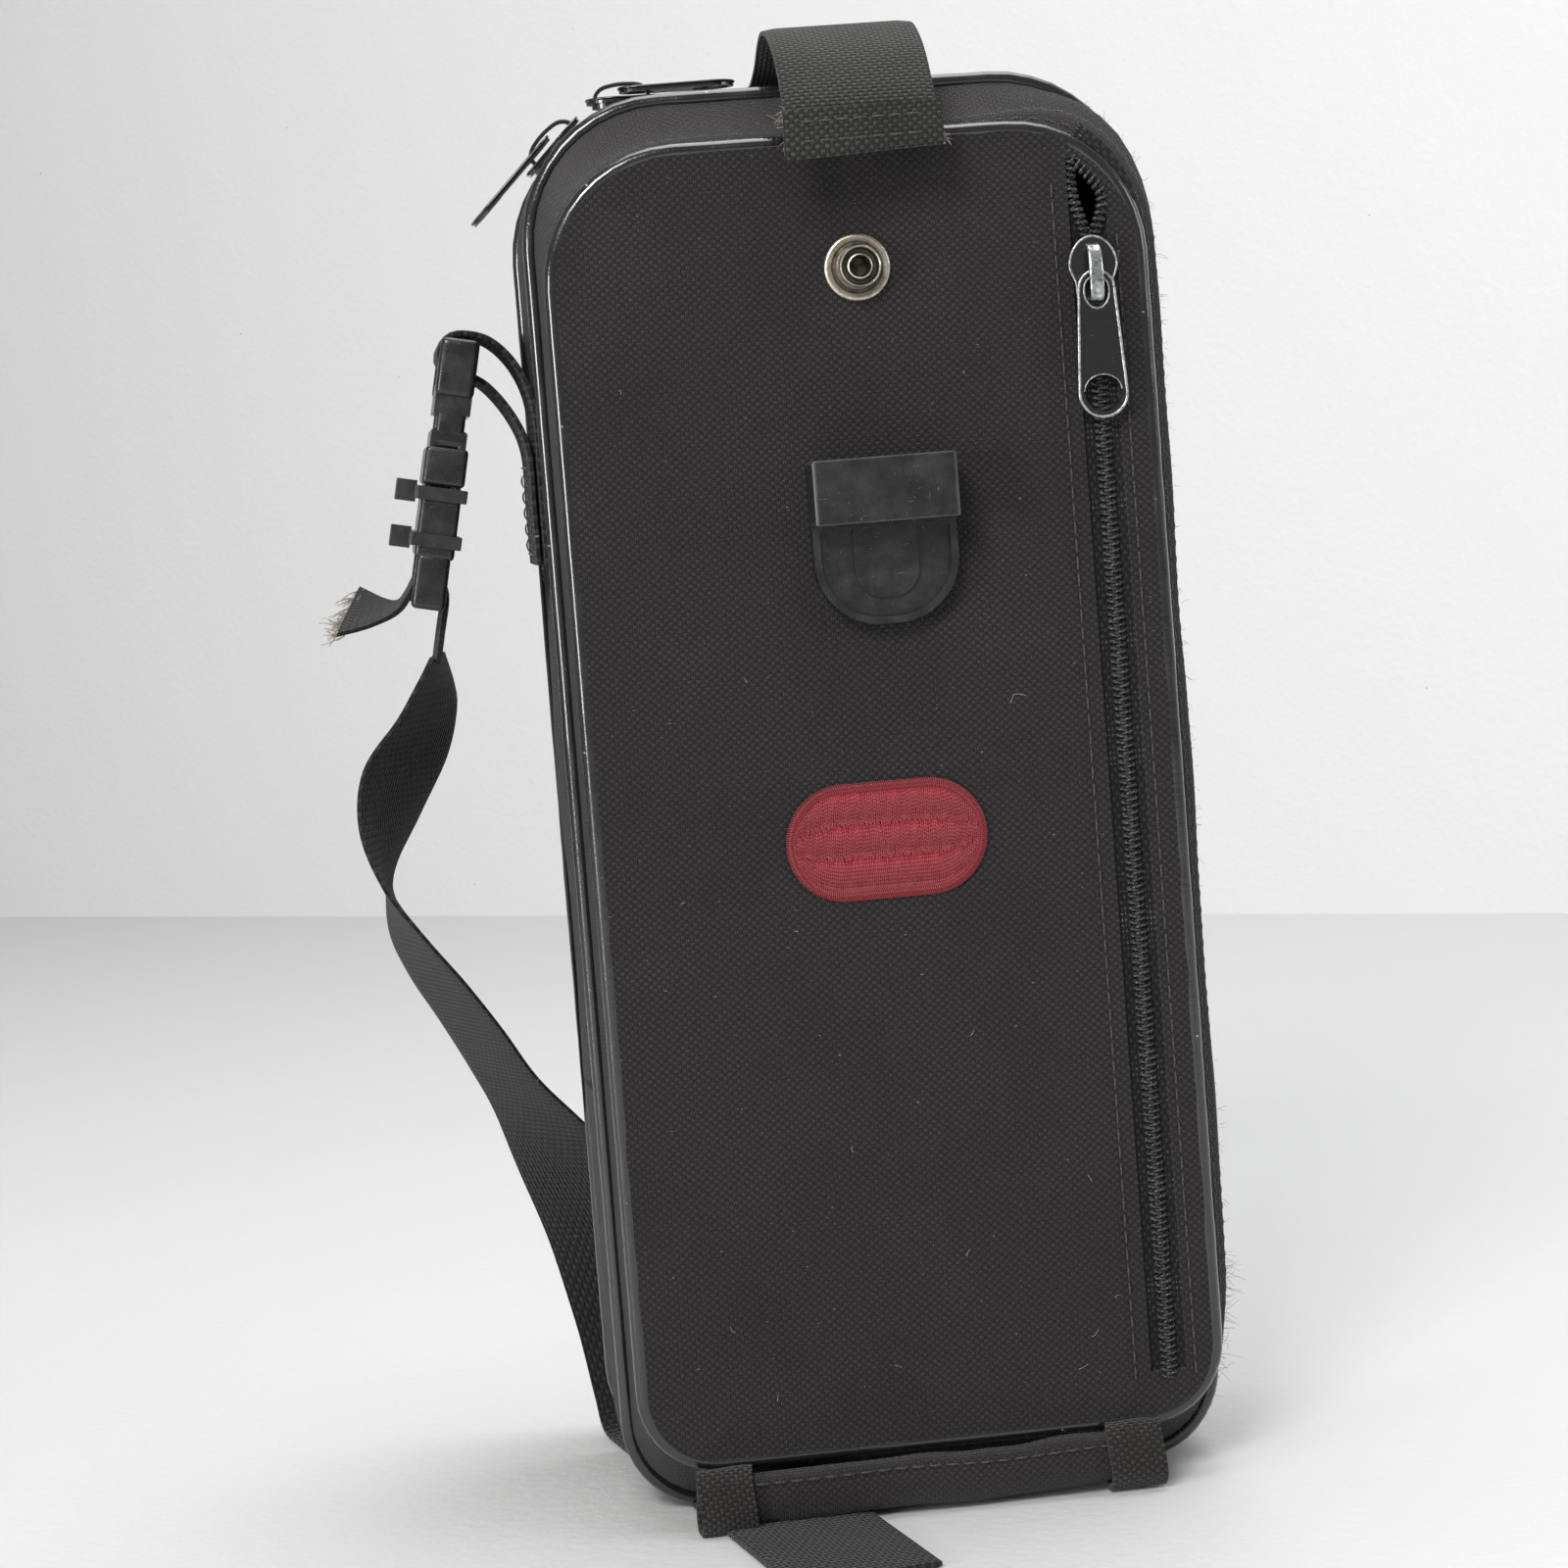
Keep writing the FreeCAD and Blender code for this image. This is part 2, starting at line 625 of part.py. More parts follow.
def snap_stud():
    """Male half of a press fastener, with the rivet washer behind the pocket front."""
    at = ("sizes.stud_x", "sizes.pocket_y", "sizes.stud_z")
    flange = rod("stud_disc", "sizes.stud_flange", 1, at, "-y")
    post = rod("stud_pillar", "sizes.stud_post", "sizes.stud_out", at, "-y")
    bore = rod("stud_bore", "sizes.stud_hole", "sizes.stud_out + 1", at, "-y")
    keep(cut("stud_metal", fuse("stud_blank", flange, post), bore), "snap_stud")
    behind = ("sizes.stud_x", "sizes.pocket_y + sizes.pocket_panel + 1", "sizes.stud_z")
    washer = rod("rivet_disc", 5, 1, behind, "-y")
    shank = rod("rivet_shank", "sizes.stud_hole", 4, behind, "-y")
    keep(fuse("rivet_metal", washer, shank), "snap_rivet")


def clip_dock():
    """Moulded dock for a belt clip: a base with a rim and tongue, and a hood open underneath."""
    face = "sizes.pocket_y - sizes.dock_plate"
    shape = slab_outline("sizes.dock_half", "sizes.dock_low", "sizes.dock_high", "12", "2")
    base = plate("dock_sheet", "sizes.pocket_y", face, shape)
    rim_outer = slab_outline("sizes.dock_half", "sizes.dock_low",
                             "sizes.dock_high - sizes.dock_hood", "12", "1")
    rim_inner = slab_outline("sizes.dock_half - 1.3", "sizes.dock_low + 1.3",
                             "sizes.dock_high - sizes.dock_hood - 1.3", "10.7", "0.5")
    rim = plate("dock_rim", face, f"{face} - 1.2", rim_outer, [rim_inner])
    tongue = plate("dock_tongue", face, f"{face} - 0.8",
                   slab_outline(6, "sizes.dock_low + 5", "sizes.dock_high - sizes.dock_hood - 1.3",
                                "5", "0.5"))
    moulding = fuse("dock_moulding", base, rim, tongue)
    keep(put(moulding, x="sizes.dock_x"), "dock_base")
    hood_low = "sizes.dock_high - sizes.dock_hood"
    block = box("hood_block", ("-sizes.dock_half", "sizes.pocket_y - sizes.dock_out", hood_low),
                ("sizes.dock_half", face, "sizes.dock_high"))
    socket = box("hood_socket", ("-sizes.dock_half + 3", "sizes.pocket_y - sizes.dock_out + 2", 0),
                 ("sizes.dock_half - 3", face, "sizes.dock_high - 3"))
    keep(put(cut("hood_shell", block, socket), x="sizes.dock_x"), "dock_hood")
    heads = []
    for index, (x, z) in enumerate(((-8, 193), (8, 193), (0, 175))):
        behind = (f"sizes.dock_x + {x}", "sizes.pocket_y + sizes.pocket_panel + 1", z)
        heads.append(rod(f"dock_rivet_{index}", 3, 1, behind, "-y"))
    keep(fuse("dock_rivet_heads", *heads), "dock_rivets")


def patch():
    """Plain oval of satin stitches in the middle of the pocket front."""
    shape = slab_outline("sizes.patch_half", "sizes.patch_z - sizes.patch_tall / 2",
                         "sizes.patch_z + sizes.patch_tall / 2", "sizes.patch_tall / 2 - 0.1")
    oval = plate("patch_sheet", "sizes.pocket_y", "sizes.pocket_y - 0.8", shape)
    keep(put(oval, x="sizes.patch_x"), "embroidered_patch")


# ---------------------------------------------------------------- sliders and pulls

def slider(label, gap, reach, flanges):
    """Zip slider about the coil's outer face: Z along the zip, Y into the case.

    gap is the free height over the coil, reach how far a flange comes down beside it."""
    wide = "sizes.slider_wide / 2"
    long = "sizes.slider_long / 2"
    top = f"-({gap}) - sizes.slider_plate"
    shape = slab_outline(wide, f"-({long})", long, "3.4", "1.6")
    pieces = [plate(label + "_plate", f"-({gap})", top, shape)]
    for side in flanges:
        near = f"{side} * ({wide})"
        inner = f"{side} * ({wide} - 0.7)"
        low, high = (inner, near) if side > 0 else (near, inner)
        pieces.append(box(f"{label}_flange_{side + 1}", (low, f"-({gap})", "-5"), (high, reach, "4.5")))
    half = "sizes.bridge_wide / 2"
    under = f"{top} - sizes.post_high"
    for name, start, end in (("low", "-3.2", "-1.7"), ("high", "1.7", "3.2")):
        pieces.append(box(f"{label}_post_{name}", (f"-{half}", under, start), (half, top, end)))
    pieces.append(box(label + "_bridge", (f"-{half}", f"{under} - 1", "-3.2"), (half, under, "3.2")))
    return fuse(label + "_metal", *pieces)


def pull(label, wide, long, eye):
    """Zip pull about its crossbar: it hangs along -Z with a slot for the bridge and an eye below."""
    half_thick = "sizes.pull_thick / 2"
    outer = slab_outline(f"({wide}) / 2", f"-({long})", "0.6", "2.6", "0.5")
    slot = slab_outline("1.9", "-4.6", "-0.6", "0.4")
    hole = slab_outline(eye, f"-({long}) + 2.4", f"-({long}) + 8.6", f"{eye} - 0.1")
    return plate(label + "_sheet", half_thick, f"-{half_thick}", outer, [slot, hole])


def pocket_slider():
    at = ("sizes.pocket_zip_x", "sizes.pocket_coil_y", "sizes.pocket_slider_z")
    body = slider("pocket_slider", "0.3", "0.2", (-1, 1))
    keep(put(body, *at), "pocket_slider")
    pivot_y = "sizes.pocket_coil_y - 0.3 - sizes.slider_plate - sizes.post_high / 2"
    flap = pull("pocket_pull", "sizes.pocket_pull_wide", "sizes.pocket_pull_long", "2.2")
    keep(put(flap, at[0], pivot_y, at[2]), "pocket_pull")


MAIN_GAP = "1.0"
MAIN_REACH = "0.2"
PIVOT_OVER_COIL = f"({MAIN_GAP}) + sizes.slider_plate + sizes.post_high / 2"


def main_slider_top():
    """Slider on the straight top run; its pull lies along +X."""
    turn = FreeCAD.Rotation(Vector(0, 1, 0), Vector(0, 0, -1), Vector(-1, 0, 0), "XYZ")
    coil = "sizes.case_high + sizes.coil_rise"
    body = slider("main_slider_top", MAIN_GAP, MAIN_REACH, (1,))
    keep(put(body, "sizes.top_slider_x", "sizes.zip_y", coil, turn), "main_slider_top")
    flap = pull("main_pull_top", "sizes.main_pull_wide", "sizes.main_pull_long", "1.6")
    height = f"{coil} + {PIVOT_OVER_COIL}"
    keep(put(flap, "sizes.top_slider_x", "sizes.zip_y", height, turn), "main_pull_top")


def main_slider_left():
    """Slider on the upper left corner; its pull follows the tangent down to the left."""
    cosine = math.cos(math.radians(LEFT_SLIDER_ANGLE))
    sine = math.sin(math.radians(LEFT_SLIDER_ANGLE))
    outward = Vector(cosine, 0, sine)
    turn = FreeCAD.Rotation(Vector(0, -1, 0), -outward, Vector(sine, 0, -cosine), "XYZ")
    centre_x = "-(sizes.case_half - sizes.case_corner_high)"
    centre_z = "sizes.case_high - sizes.case_corner_high"
    coil = "(sizes.case_corner_high + sizes.coil_rise)"
    pivot = f"({coil} + {PIVOT_OVER_COIL})"
    body = slider("main_slider_left", MAIN_GAP, MAIN_REACH, (-1,))
    at = (f"{centre_x} + {cosine} * {coil}", "sizes.zip_y", f"{centre_z} + {sine} * {coil}")
    keep(put(body, *at, turn), "main_slider_left")
    flap = pull("main_pull_left", "sizes.main_pull_wide", "sizes.main_pull_long", "1.6")
    at = (f"{centre_x} + {cosine} * {pivot}", "sizes.zip_y", f"{centre_z} + {sine} * {pivot}")
    keep(put(flap, *at, turn), "main_pull_left")


# ---------------------------------------------------------------- webbing and buckle

def top_tab():
    """Webbing tab from behind the zip, over the top edge and down in front of the pocket."""
    pivot_y = value("sizes.tab_pivot_y")
    pivot_z = value("sizes.tab_pivot_z")
    middle = value("sizes.tab_x")
    # Depth and height from the lifting line.
    arch = [(0, 0), (-8, 0.8), (-17, 3), (-24, 6), (-31, 7.6), (-40, 6.3), (-50, 1),
            (-57, -6.5), (-60.5, -13), (-61, -17.5)]
    stations = [((middle, pivot_y + y, pivot_z + z), (1, 0, 0)) for y, z in arch]
    webbing_strip("top_tab", stations)
    half = "sizes.webbing_wide / 2"
    front = "sizes.tab_pivot_y - 61.9"
    fold = box("hem_fold", (f"sizes.tab_x - {half}", f"{front} - 1.8", "sizes.tab_pivot_z - 17.5"),
               (f"sizes.tab_x + {half}", front, "sizes.tab_pivot_z - 9"))
    keep(fold, "tab_hem")
    seat = box("tab_seat", (f"sizes.tab_x - {half}", "sizes.tab_pivot_y + 1", "sizes.case_high"),
               (f"sizes.tab_x + {half}", "sizes.tab_pivot_y + 11", "sizes.case_high + 1.8"))
    keep(seat, "tab_seam")


def strap_stub():
    """Webbing sewn to the left side that loops round the buckle's bar and comes back."""
    y = value("sizes.bar_y")
    # Sideways position and height, up the outer layer, round the bar, and down the inner one.
    loop = [(-58.3, 184), (-58.3, 214), (-61, 222.5), (-66, 228.2), (-72, 229.8), (-75.0, 228.2),
            (-75.9, 225.5), (-74.5, 222.9), (-71.5, 222.1), (-67, 219.3), (-62.5, 213),
            (-60.0, 206), (-60.0, 184)]
    webbing_strip("strap_stub", [((x, y, z), (0, 1, 0)) for x, z in loop])


def buckle_frame():
    """Placement of the buckle: its bar on the stub, its length tilted away from the case."""
    bar = Vector(value("sizes.bar_x"), value("sizes.bar_y"), value("sizes.bar_z"))
    return FreeCAD.Placement(bar, FreeCAD.Rotation(Vector(0, 1, 0), BUCKLE_TILT))


def side_release_buckle():
    """Two halves about the bar's middle: X through the thickness, Y across, Z upwards."""
    thick = "sizes.buckle_thick / 2"
    half = "sizes.buckle_half"
    inner = "sizes.buckle_half - sizes.rail"
    male = [rod("male_bar", "sizes.bar_radius", f"2 * {half}", ("0", f"-{half}", "0"), "y")]
    female = [box("female_bar", ("-1.8", f"-{half}", "-49"), ("1.8", half, "-45.5"))]
    for name, low, high in (("rear", inner, half), ("front", f"-{half}", f"-({inner})")):
        male.append(box("male_rail_" + name, ("-1.8", low, "-7"), ("1.8", high, "1.2")))
        female.append(box("female_rail_" + name, ("-1.8", low, "-49"), ("1.8", high, "-37")))
    male.append(box("male_block", (f"-{thick}", f"-{half}", "-12"), (thick, half, "-6")))
    male.append(box("male_tongue", ("-1.2", "-3", "-31"), ("1.2", "3", "-12")))
    male.append(box("prong_rear", ("-1.6", "9", "-31"), ("1.6", "13.5", "-12")))
    male.append(box("prong_front", ("-1.6", "-13.5", "-31"), ("1.6", "-9", "-12")))
    male_half = fuse("male_moulding", *male)
    shell = box("female_shell", (f"-{thick}", f"-{half}", "-39"), (thick, half, "-15"))
    room = box("female_room", ("-2.1", "-15", "-34"), ("2.1", "15", "-10"))
    windows = box("female_windows", ("-2.1", "-30", "-28"), ("2.1", "30", "-18"))
    housing = cut("female_housing", shell, fuse("female_hollow", room, windows))
    female_half = fuse("female_moulding", housing, *female)
    male_half.Placement = buckle_frame()
    female_half.Placement = buckle_frame()
    keep(male_half, "buckle_male")
    keep(female_half, "buckle_female")


def cable_ties():
    """Two cable ties drawn round the buckle, each with its head on the outer side."""
    for name, z in (("upper", -27.5), ("lower", -36.5)):
        outside = box(f"tie_{name}_outside", ("-4.9", "-19.3", z - 1.3), ("4.9", "19.3", z + 1.3))
        inside = box(f"tie_{name}_inside", ("-3.6", "-18.1", z - 2), ("3.6", "18.1", z + 2))
        head = box(f"tie_{name}_head", ("-8.9", "-14", z - 2), ("-4.9", "-9.5", z + 2.2))
        band = fuse(f"tie_{name}_band", cut(f"tie_{name}_loop", outside, inside), head)
        band.Placement = buckle_frame()
        keep(band, f"cable_tie_{name}")


def strap_tail():
    """Strap end that comes up inside, turns round the buckle's lower bar and sticks out frayed."""
    # Thickness direction and height in the buckle's own frame.
    path = [(3.4, -60), (3.4, -47.5), (2.2, -44.4), (0, -43.2), (-2.4, -44.3), (-3.7, -47.5),
            (-5.5, -50.5), (-9.5, -52), (-15, -52.5)]
    webbing_strip("strap_tail", [((x, 0, z), (0, 1, 0)) for x, z in path], buckle_frame())


def shoulder_strap():
    """Shoulder strap: hangs from the buckle, turns over, passes behind and under the case."""
    turn = math.radians(UNDER_TURN)
    middle = Vector(value("sizes.under_x"), value("sizes.under_y"), 0)
    along = Vector(math.sin(turn), -math.cos(turn), 0)
    flat = (-math.cos(turn), -math.sin(turn), 0)
    stations = [
        ((-81.2, 17, 164), (0.25, 0.97, 0)),
        ((-84.0, 16, 156), (0.42, 0.90, 0)),
        ((-89.0, 14, 147), (0.58, 0.81, 0)),
        ((-93.0, 13, 136), (0.42, 0.90, 0)),
        ((-94.5, 13, 124), (0.05, 0.99, 0)),
        ((-91.5, 15, 113), (-0.25, 0.97, 0)),
        ((-86.5, 20, 103), (-0.38, 0.92, 0)),
        ((-80.5, 28, 92), (-0.42, 0.90, 0)),
        ((-74.5, 38, 80), (-0.46, 0.89, 0)),
        ((-68.0, 46, 69), (-0.60, 0.80, 0)),
        ((-61.0, 51, 56), (-0.82, 0.57, 0)),
        ((-54.0, 53, 40), (-0.95, 0.30, 0)),
        ((-49.5, 53, 23), (-0.99, -0.02, 0)),
        ((-47.4, 50.5, 9), flat),
        ((-46.3, 46, 2.4), flat),
    ]
    for distance in (-38, 38, 78):
        spot = middle + along * distance
        stations.append(((spot.x, spot.y, value("sizes.webbing") / 2), flat))
    webbing_strip("shoulder_strap", stations)
    points = [Vector(*centre) for centre, across in stations]
    length = sum((b - a).Length for a, b in zip(points, points[1:]))
    print(f"shoulder strap length {length:.1f} mm")


def check_and_write():
    """Stop on any failed object or bad shape, then write one STEP file per sub-part."""
    doc.recompute()
    for item in doc.Objects:
        if "Invalid" in item.State or "Error" in item.State:
            raise SystemExit(f"{item.Label}: {item.State}")
    for item in sub_parts:
        if item.Shape.isNull() or not item.Shape.isValid():
            raise SystemExit(f"{item.Label}: bad shape")
        if item.Shape.Volume <= 0 or not item.Shape.Solids:
            raise SystemExit(f"{item.Label}: no solid")
    os.makedirs("parts", exist_ok=True)
    for item in sub_parts:
        item.Shape.exportStep(f"parts/{item.Label}.step")
    print(f"{len(sub_parts)} sub-parts written")


back()
side_layers()
bottom_layers()
main_zip()
cover_layers()
pocket_shell()
pocket_zip()
hem()
snap_stud()
clip_dock()
patch()
pocket_slider()
main_slider_top()
main_slider_left()
top_tab()
strap_stub()
side_release_buckle()
cable_ties()
strap_tail()
shoulder_strap()
check_and_write()
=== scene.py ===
"""Soft padded carrying case: fabric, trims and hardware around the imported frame."""

import math
import random

import bmesh
import bpy
import numpy as np
from mathutils import Matrix, Vector, noise


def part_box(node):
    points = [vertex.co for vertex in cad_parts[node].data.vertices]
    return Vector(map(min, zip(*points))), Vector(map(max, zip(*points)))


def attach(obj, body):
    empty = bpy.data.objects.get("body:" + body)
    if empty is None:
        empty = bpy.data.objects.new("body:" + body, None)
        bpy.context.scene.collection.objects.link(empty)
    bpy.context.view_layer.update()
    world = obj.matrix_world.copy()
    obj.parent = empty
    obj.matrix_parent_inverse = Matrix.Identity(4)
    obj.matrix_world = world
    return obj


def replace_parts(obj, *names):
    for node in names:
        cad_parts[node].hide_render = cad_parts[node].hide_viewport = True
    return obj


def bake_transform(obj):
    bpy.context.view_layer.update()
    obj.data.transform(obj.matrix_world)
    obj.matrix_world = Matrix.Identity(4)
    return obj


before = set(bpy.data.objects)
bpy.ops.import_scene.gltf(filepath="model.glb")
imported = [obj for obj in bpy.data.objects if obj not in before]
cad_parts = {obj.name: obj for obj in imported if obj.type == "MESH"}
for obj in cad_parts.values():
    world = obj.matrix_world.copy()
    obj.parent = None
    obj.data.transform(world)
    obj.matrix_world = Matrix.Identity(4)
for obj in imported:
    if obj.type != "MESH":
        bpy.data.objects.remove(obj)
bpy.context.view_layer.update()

MM = 0.001
CASE_SHAPE = (57.5, 0.0, 269.5, 16.0, 26.0)
POCKET_SHAPE = (55.0, 13.0, 258.5, 14.0, 24.0)
PIPING_RADIUS = 1.5
BACK_Y = 33.0
COVER_Y = -15.0
POCKET_PIPING_Y = -32.0
POCKET_FRONT_Y = -33.4
ZIP_Y = -3.0
ZIP_X = 45.5
ZIP_LOW = 22.0
ZIP_EDGE_LEFT = 41.9
ZIP_EDGE_RIGHT = 49.1
TOOTH_PITCH = 1.27
STRAP_HALF = 14.0
STRAP_TURN = math.radians(12.1)
# The strap's middle line crosses the floor here, in a channel this deep under the case.
STRAP_UNDER = (-36.0, 2.0)
STRAP_CHANNEL = 1.9
CHANNEL_SIDE = (14.6, 17.5)
SEAM_Z = 81.0


# ---------------------------------------------------------------- materials


class Finish:
    """One material: a Principled shader and short calls that add nodes to it."""

    def __init__(self, name, **amounts):
        self.material = bpy.data.materials.new(name)
        self.material.use_nodes = True
        self.tree = self.material.node_tree
        self.shader = self.tree.nodes["Principled BSDF"]
        for socket, amount in amounts.items():
            self.shader.inputs[socket.replace("_", " ")].default_value = amount

    def feed(self, socket, source):
        """Joins a socket to another socket, or sets its number."""
        if isinstance(source, bpy.types.NodeSocket):
            self.tree.links.new(source, socket)
        else:
            socket.default_value = source

    def math(self, operation, *inputs):
        """One Math node."""
        node = self.tree.nodes.new("ShaderNodeMath")
        node.operation = operation
        for place, source in enumerate(inputs):
            self.feed(node.inputs[place], source)
        return node.outputs[0]

    def place(self, kind):
        """The UV or Object coordinates, in metres."""
        node = self.tree.nodes.new("ShaderNodeTexCoord")
        return node.outputs[kind]

    def parts(self, vector):
        """A vector's three numbers."""
        node = self.tree.nodes.new("ShaderNodeSeparateXYZ")
        self.feed(node.inputs[0], vector)
        return node.outputs

    def stretch(self, vector, scale):
        """A vector scaled on each axis."""
        node = self.tree.nodes.new("ShaderNodeMapping")
        self.feed(node.inputs["Vector"], vector)
        node.inputs["Scale"].default_value = scale
        return node.outputs[0]

    def noise(self, vector, scale, detail=2.0, roughness=0.5):
        """Soft random grey, from 0 to 1."""
        node = self.tree.nodes.new("ShaderNodeTexNoise")
        self.feed(node.inputs["Vector"], vector)
        node.inputs["Scale"].default_value = scale
        node.inputs["Detail"].default_value = detail
        node.inputs["Roughness"].default_value = roughness
        return node.outputs[0]

    def spread(self, source, low, high, out_low=0.0, out_high=1.0):
        """Maps low..high to out_low..out_high, and holds it outside."""
        node = self.tree.nodes.new("ShaderNodeMapRange")
        node.inputs["From Min"].default_value = low
        node.inputs["From Max"].default_value = high
        node.inputs["To Min"].default_value = out_low
        node.inputs["To Max"].default_value = out_high
        self.feed(node.inputs["Value"], source)
        return node.outputs[0]

    def blend(self, share, first, second):
        """Mixes two colours."""
        node = self.tree.nodes.new("ShaderNodeMix")
        node.data_type = "RGBA"
        self.feed(node.inputs[0], share)
        for place, source in ((6, first), (7, second)):
            self.feed(node.inputs[place], source)
        return node.outputs[2]

    def bump(self, height, distance, strength=1.0):
        """Raises the surface's shading by a height map, distance in metres."""
        node = self.tree.nodes.new("ShaderNodeBump")
        self.feed(node.inputs["Height"], height)
        node.inputs["Distance"].default_value = distance
        node.inputs["Strength"].default_value = strength
        self.feed(self.shader.inputs["Normal"], node.outputs[0])

    def colour(self, source):
        self.feed(self.shader.inputs["Base Color"], source)

    def rough(self, source):
        self.feed(self.shader.inputs["Roughness"], source)


def grey(level, warm=0.0):
    """A grey that leans to brown as warm grows."""
    return (level * (1 + warm), level, level * (1 - warm), 1)


def weave(finish, u, v, pitch_u, pitch_v, threads):
    """Height of a basket weave: bundles of threads that go over and under in turn."""
    runs = []
    for across, pitch in ((u, pitch_u), (v, pitch_v)):
        turn = finish.math("MULTIPLY", across, math.pi * threads / pitch)
        runs.append(finish.math("ABSOLUTE", finish.math("SINE", turn)))
    wave_u = finish.math("SINE", finish.math("MULTIPLY", u, math.pi / pitch_u))
    wave_v = finish.math("SINE", finish.math("MULTIPLY", v, math.pi / pitch_v))
    over = finish.spread(finish.math("MULTIPLY", wave_u, wave_v), -0.35, 0.35)
    first = finish.math("MULTIPLY", runs[0], over)
    rest = finish.math("SUBTRACT", 1.0, over)
    second = finish.math("MULTIPLY", runs[1], rest)
    arch = finish.math("ABSOLUTE", finish.math("MULTIPLY", wave_u, wave_v))
    threads_up = finish.math("ADD", first, second)
    return finish.math("MULTIPLY_ADD", arch, 0.5, threads_up), over


def woven(name, dark, light, pitch_u, pitch_v, threads=2, depth=0.00022,
          worn=(0.72, 0.9), worn_colour=grey(0.11, 0.08), sheen=0.12):
    """Woven cloth or webbing: threads in relief with painted shade in their gaps and painted
    highlight on their tops, uneven fading, fluff and rubbed spots.
    """
    finish = Finish(name, Roughness=0.86, Sheen_Weight=sheen, Sheen_Roughness=0.45)
    finish.shader.inputs["Specular IOR Level"].default_value = 0.25
    place = finish.place("UV")
    u, v, _ = finish.parts(place)
    height, over = weave(finish, u, v, pitch_u, pitch_v, threads)
    fade = finish.noise(place, 34.0, 4.0, 0.6)
    fibre = finish.noise(place, 2300.0, 2.0, 0.6)
    body = finish.blend(finish.spread(fade, 0.32, 0.7), dark, light)
    # tone: painted shade in the gaps between threads and painted highlight on the raised threads,
    # multiplied into the colour.
    tone = finish.math("MULTIPLY", finish.spread(height, 0.15, 1.2, 0.4, 1.2),
                       finish.spread(fibre, 0.3, 0.7, 0.75, 1.25))
    # One thread direction painted lighter than the other: painted highlight and shade on the
    # crossing bundles.
    tone = finish.math("MULTIPLY", tone, finish.spread(over, 0.0, 1.0, 0.5, 1.5))
    node = finish.tree.nodes.new("ShaderNodeVectorMath")
    node.operation = "SCALE"
    finish.feed(node.inputs[0], body)
    finish.feed(node.inputs["Scale"], tone)
    rub = finish.math("MULTIPLY", finish.noise(place, 95.0, 6.0, 0.75), height)
    rubbed = finish.blend(finish.spread(rub, *worn), node.outputs[0], worn_colour)
    fluff = finish.noise(finish.stretch(place, (1.0, 2.6, 1.0)), 640.0, 1.0)
    finish.colour(finish.blend(finish.spread(fluff, 0.775, 0.8), rubbed, grey(0.16, 0.05)))
    finish.rough(finish.spread(fade, 0.3, 0.7, 0.78, 0.92))
    finish.bump(finish.math("MULTIPLY_ADD", fibre, 0.25, height), depth)
    return finish.material


def vinyl():
    """Glossy black piping: fine cross wrinkles, rubbed matt patches and pale nicks."""
    finish = Finish("piping_vinyl", Roughness=0.2, Coat_Weight=0.7, Coat_Roughness=0.08)
    place = finish.place("UV")
    wrinkle = finish.noise(finish.stretch(place, (1.0, 0.25, 1.0)), 720.0, 3.0, 0.6)
    patch = finish.noise(place, 120.0, 3.0, 0.6)
    nick = finish.noise(finish.stretch(place, (1.0, 0.5, 1.0)), 520.0, 2.0, 0.7)
    nicks = finish.spread(nick, 0.71, 0.75)
    finish.colour(finish.blend(nicks, grey(0.009), grey(0.3, 0.05)))
    finish.rough(finish.spread(patch, 0.35, 0.7, 0.16, 0.34))
    finish.bump(wrinkle, 0.0002, 0.5)
    return finish.material


def plastic(name, level, gloss, scratch=0.18):
    """Moulded black plastic with a fine grain, hazy patches and pale scratches."""
    finish = Finish(name, Roughness=gloss, Coat_Weight=0.05)
    place = finish.place("Object")
    grain = finish.noise(place, 2600.0, 2.0)
    haze = finish.noise(place, 210.0, 5.0, 0.65)
    lines = finish.noise(finish.stretch(place, (1.0, 1.0, 9.0)), 420.0, 3.0, 0.65)
    cross = finish.noise(finish.stretch(place, (6.0, 1.0, 1.5)), 380.0, 3.0, 0.65)
    marks = finish.spread(finish.math("MAXIMUM", lines, cross), 0.69, 0.76)
    dusty = finish.blend(finish.spread(haze, 0.45, 0.75), grey(level), grey(level * 1.9))
    finish.colour(finish.blend(marks, dusty, grey(scratch)))
    finish.rough(finish.spread(haze, 0.35, 0.7, gloss - 0.08, gloss + 0.14))
    finish.bump(finish.math("MULTIPLY_ADD", marks, -0.6, grain), 0.00006, 0.7)
    return finish.material


def metal(name, bright, second, roughness, scale=700.0):
    """Worn plated metal: two tones of plating, tarnish and fine scratches."""
    finish = Finish(name, Metallic=1.0, Roughness=roughness)
    place = finish.place("Object")
    tone = finish.noise(place, scale, 5.0, 0.7)
    fine = finish.noise(finish.stretch(place, (1.0, 1.0, 5.0)), 3200.0, 2.0)
    finish.colour(finish.blend(finish.spread(tone, 0.4, 0.64), bright, second))
    finish.rough(finish.spread(tone, 0.3, 0.7, roughness - 0.08, roughness + 0.2))
    finish.bump(fine, 0.00004, 0.5)
    return finish.material


def enamel():
    """Black gloss enamel, chipped to bare metal in small spots."""
    finish = Finish("slider_enamel", Roughness=0.22, Coat_Weight=0.6, Coat_Roughness=0.08)
    place = finish.place("Object")
    chip = finish.spread(finish.noise(place, 1500.0, 4.0, 0.7), 0.69, 0.71)
    finish.colour(finish.blend(chip, grey(0.01), grey(0.45, 0.03)))
    finish.feed(finish.shader.inputs["Metallic"], chip)
    finish.bump(finish.noise(place, 900.0, 3.0), 0.00008, 0.5)
    return finish.material


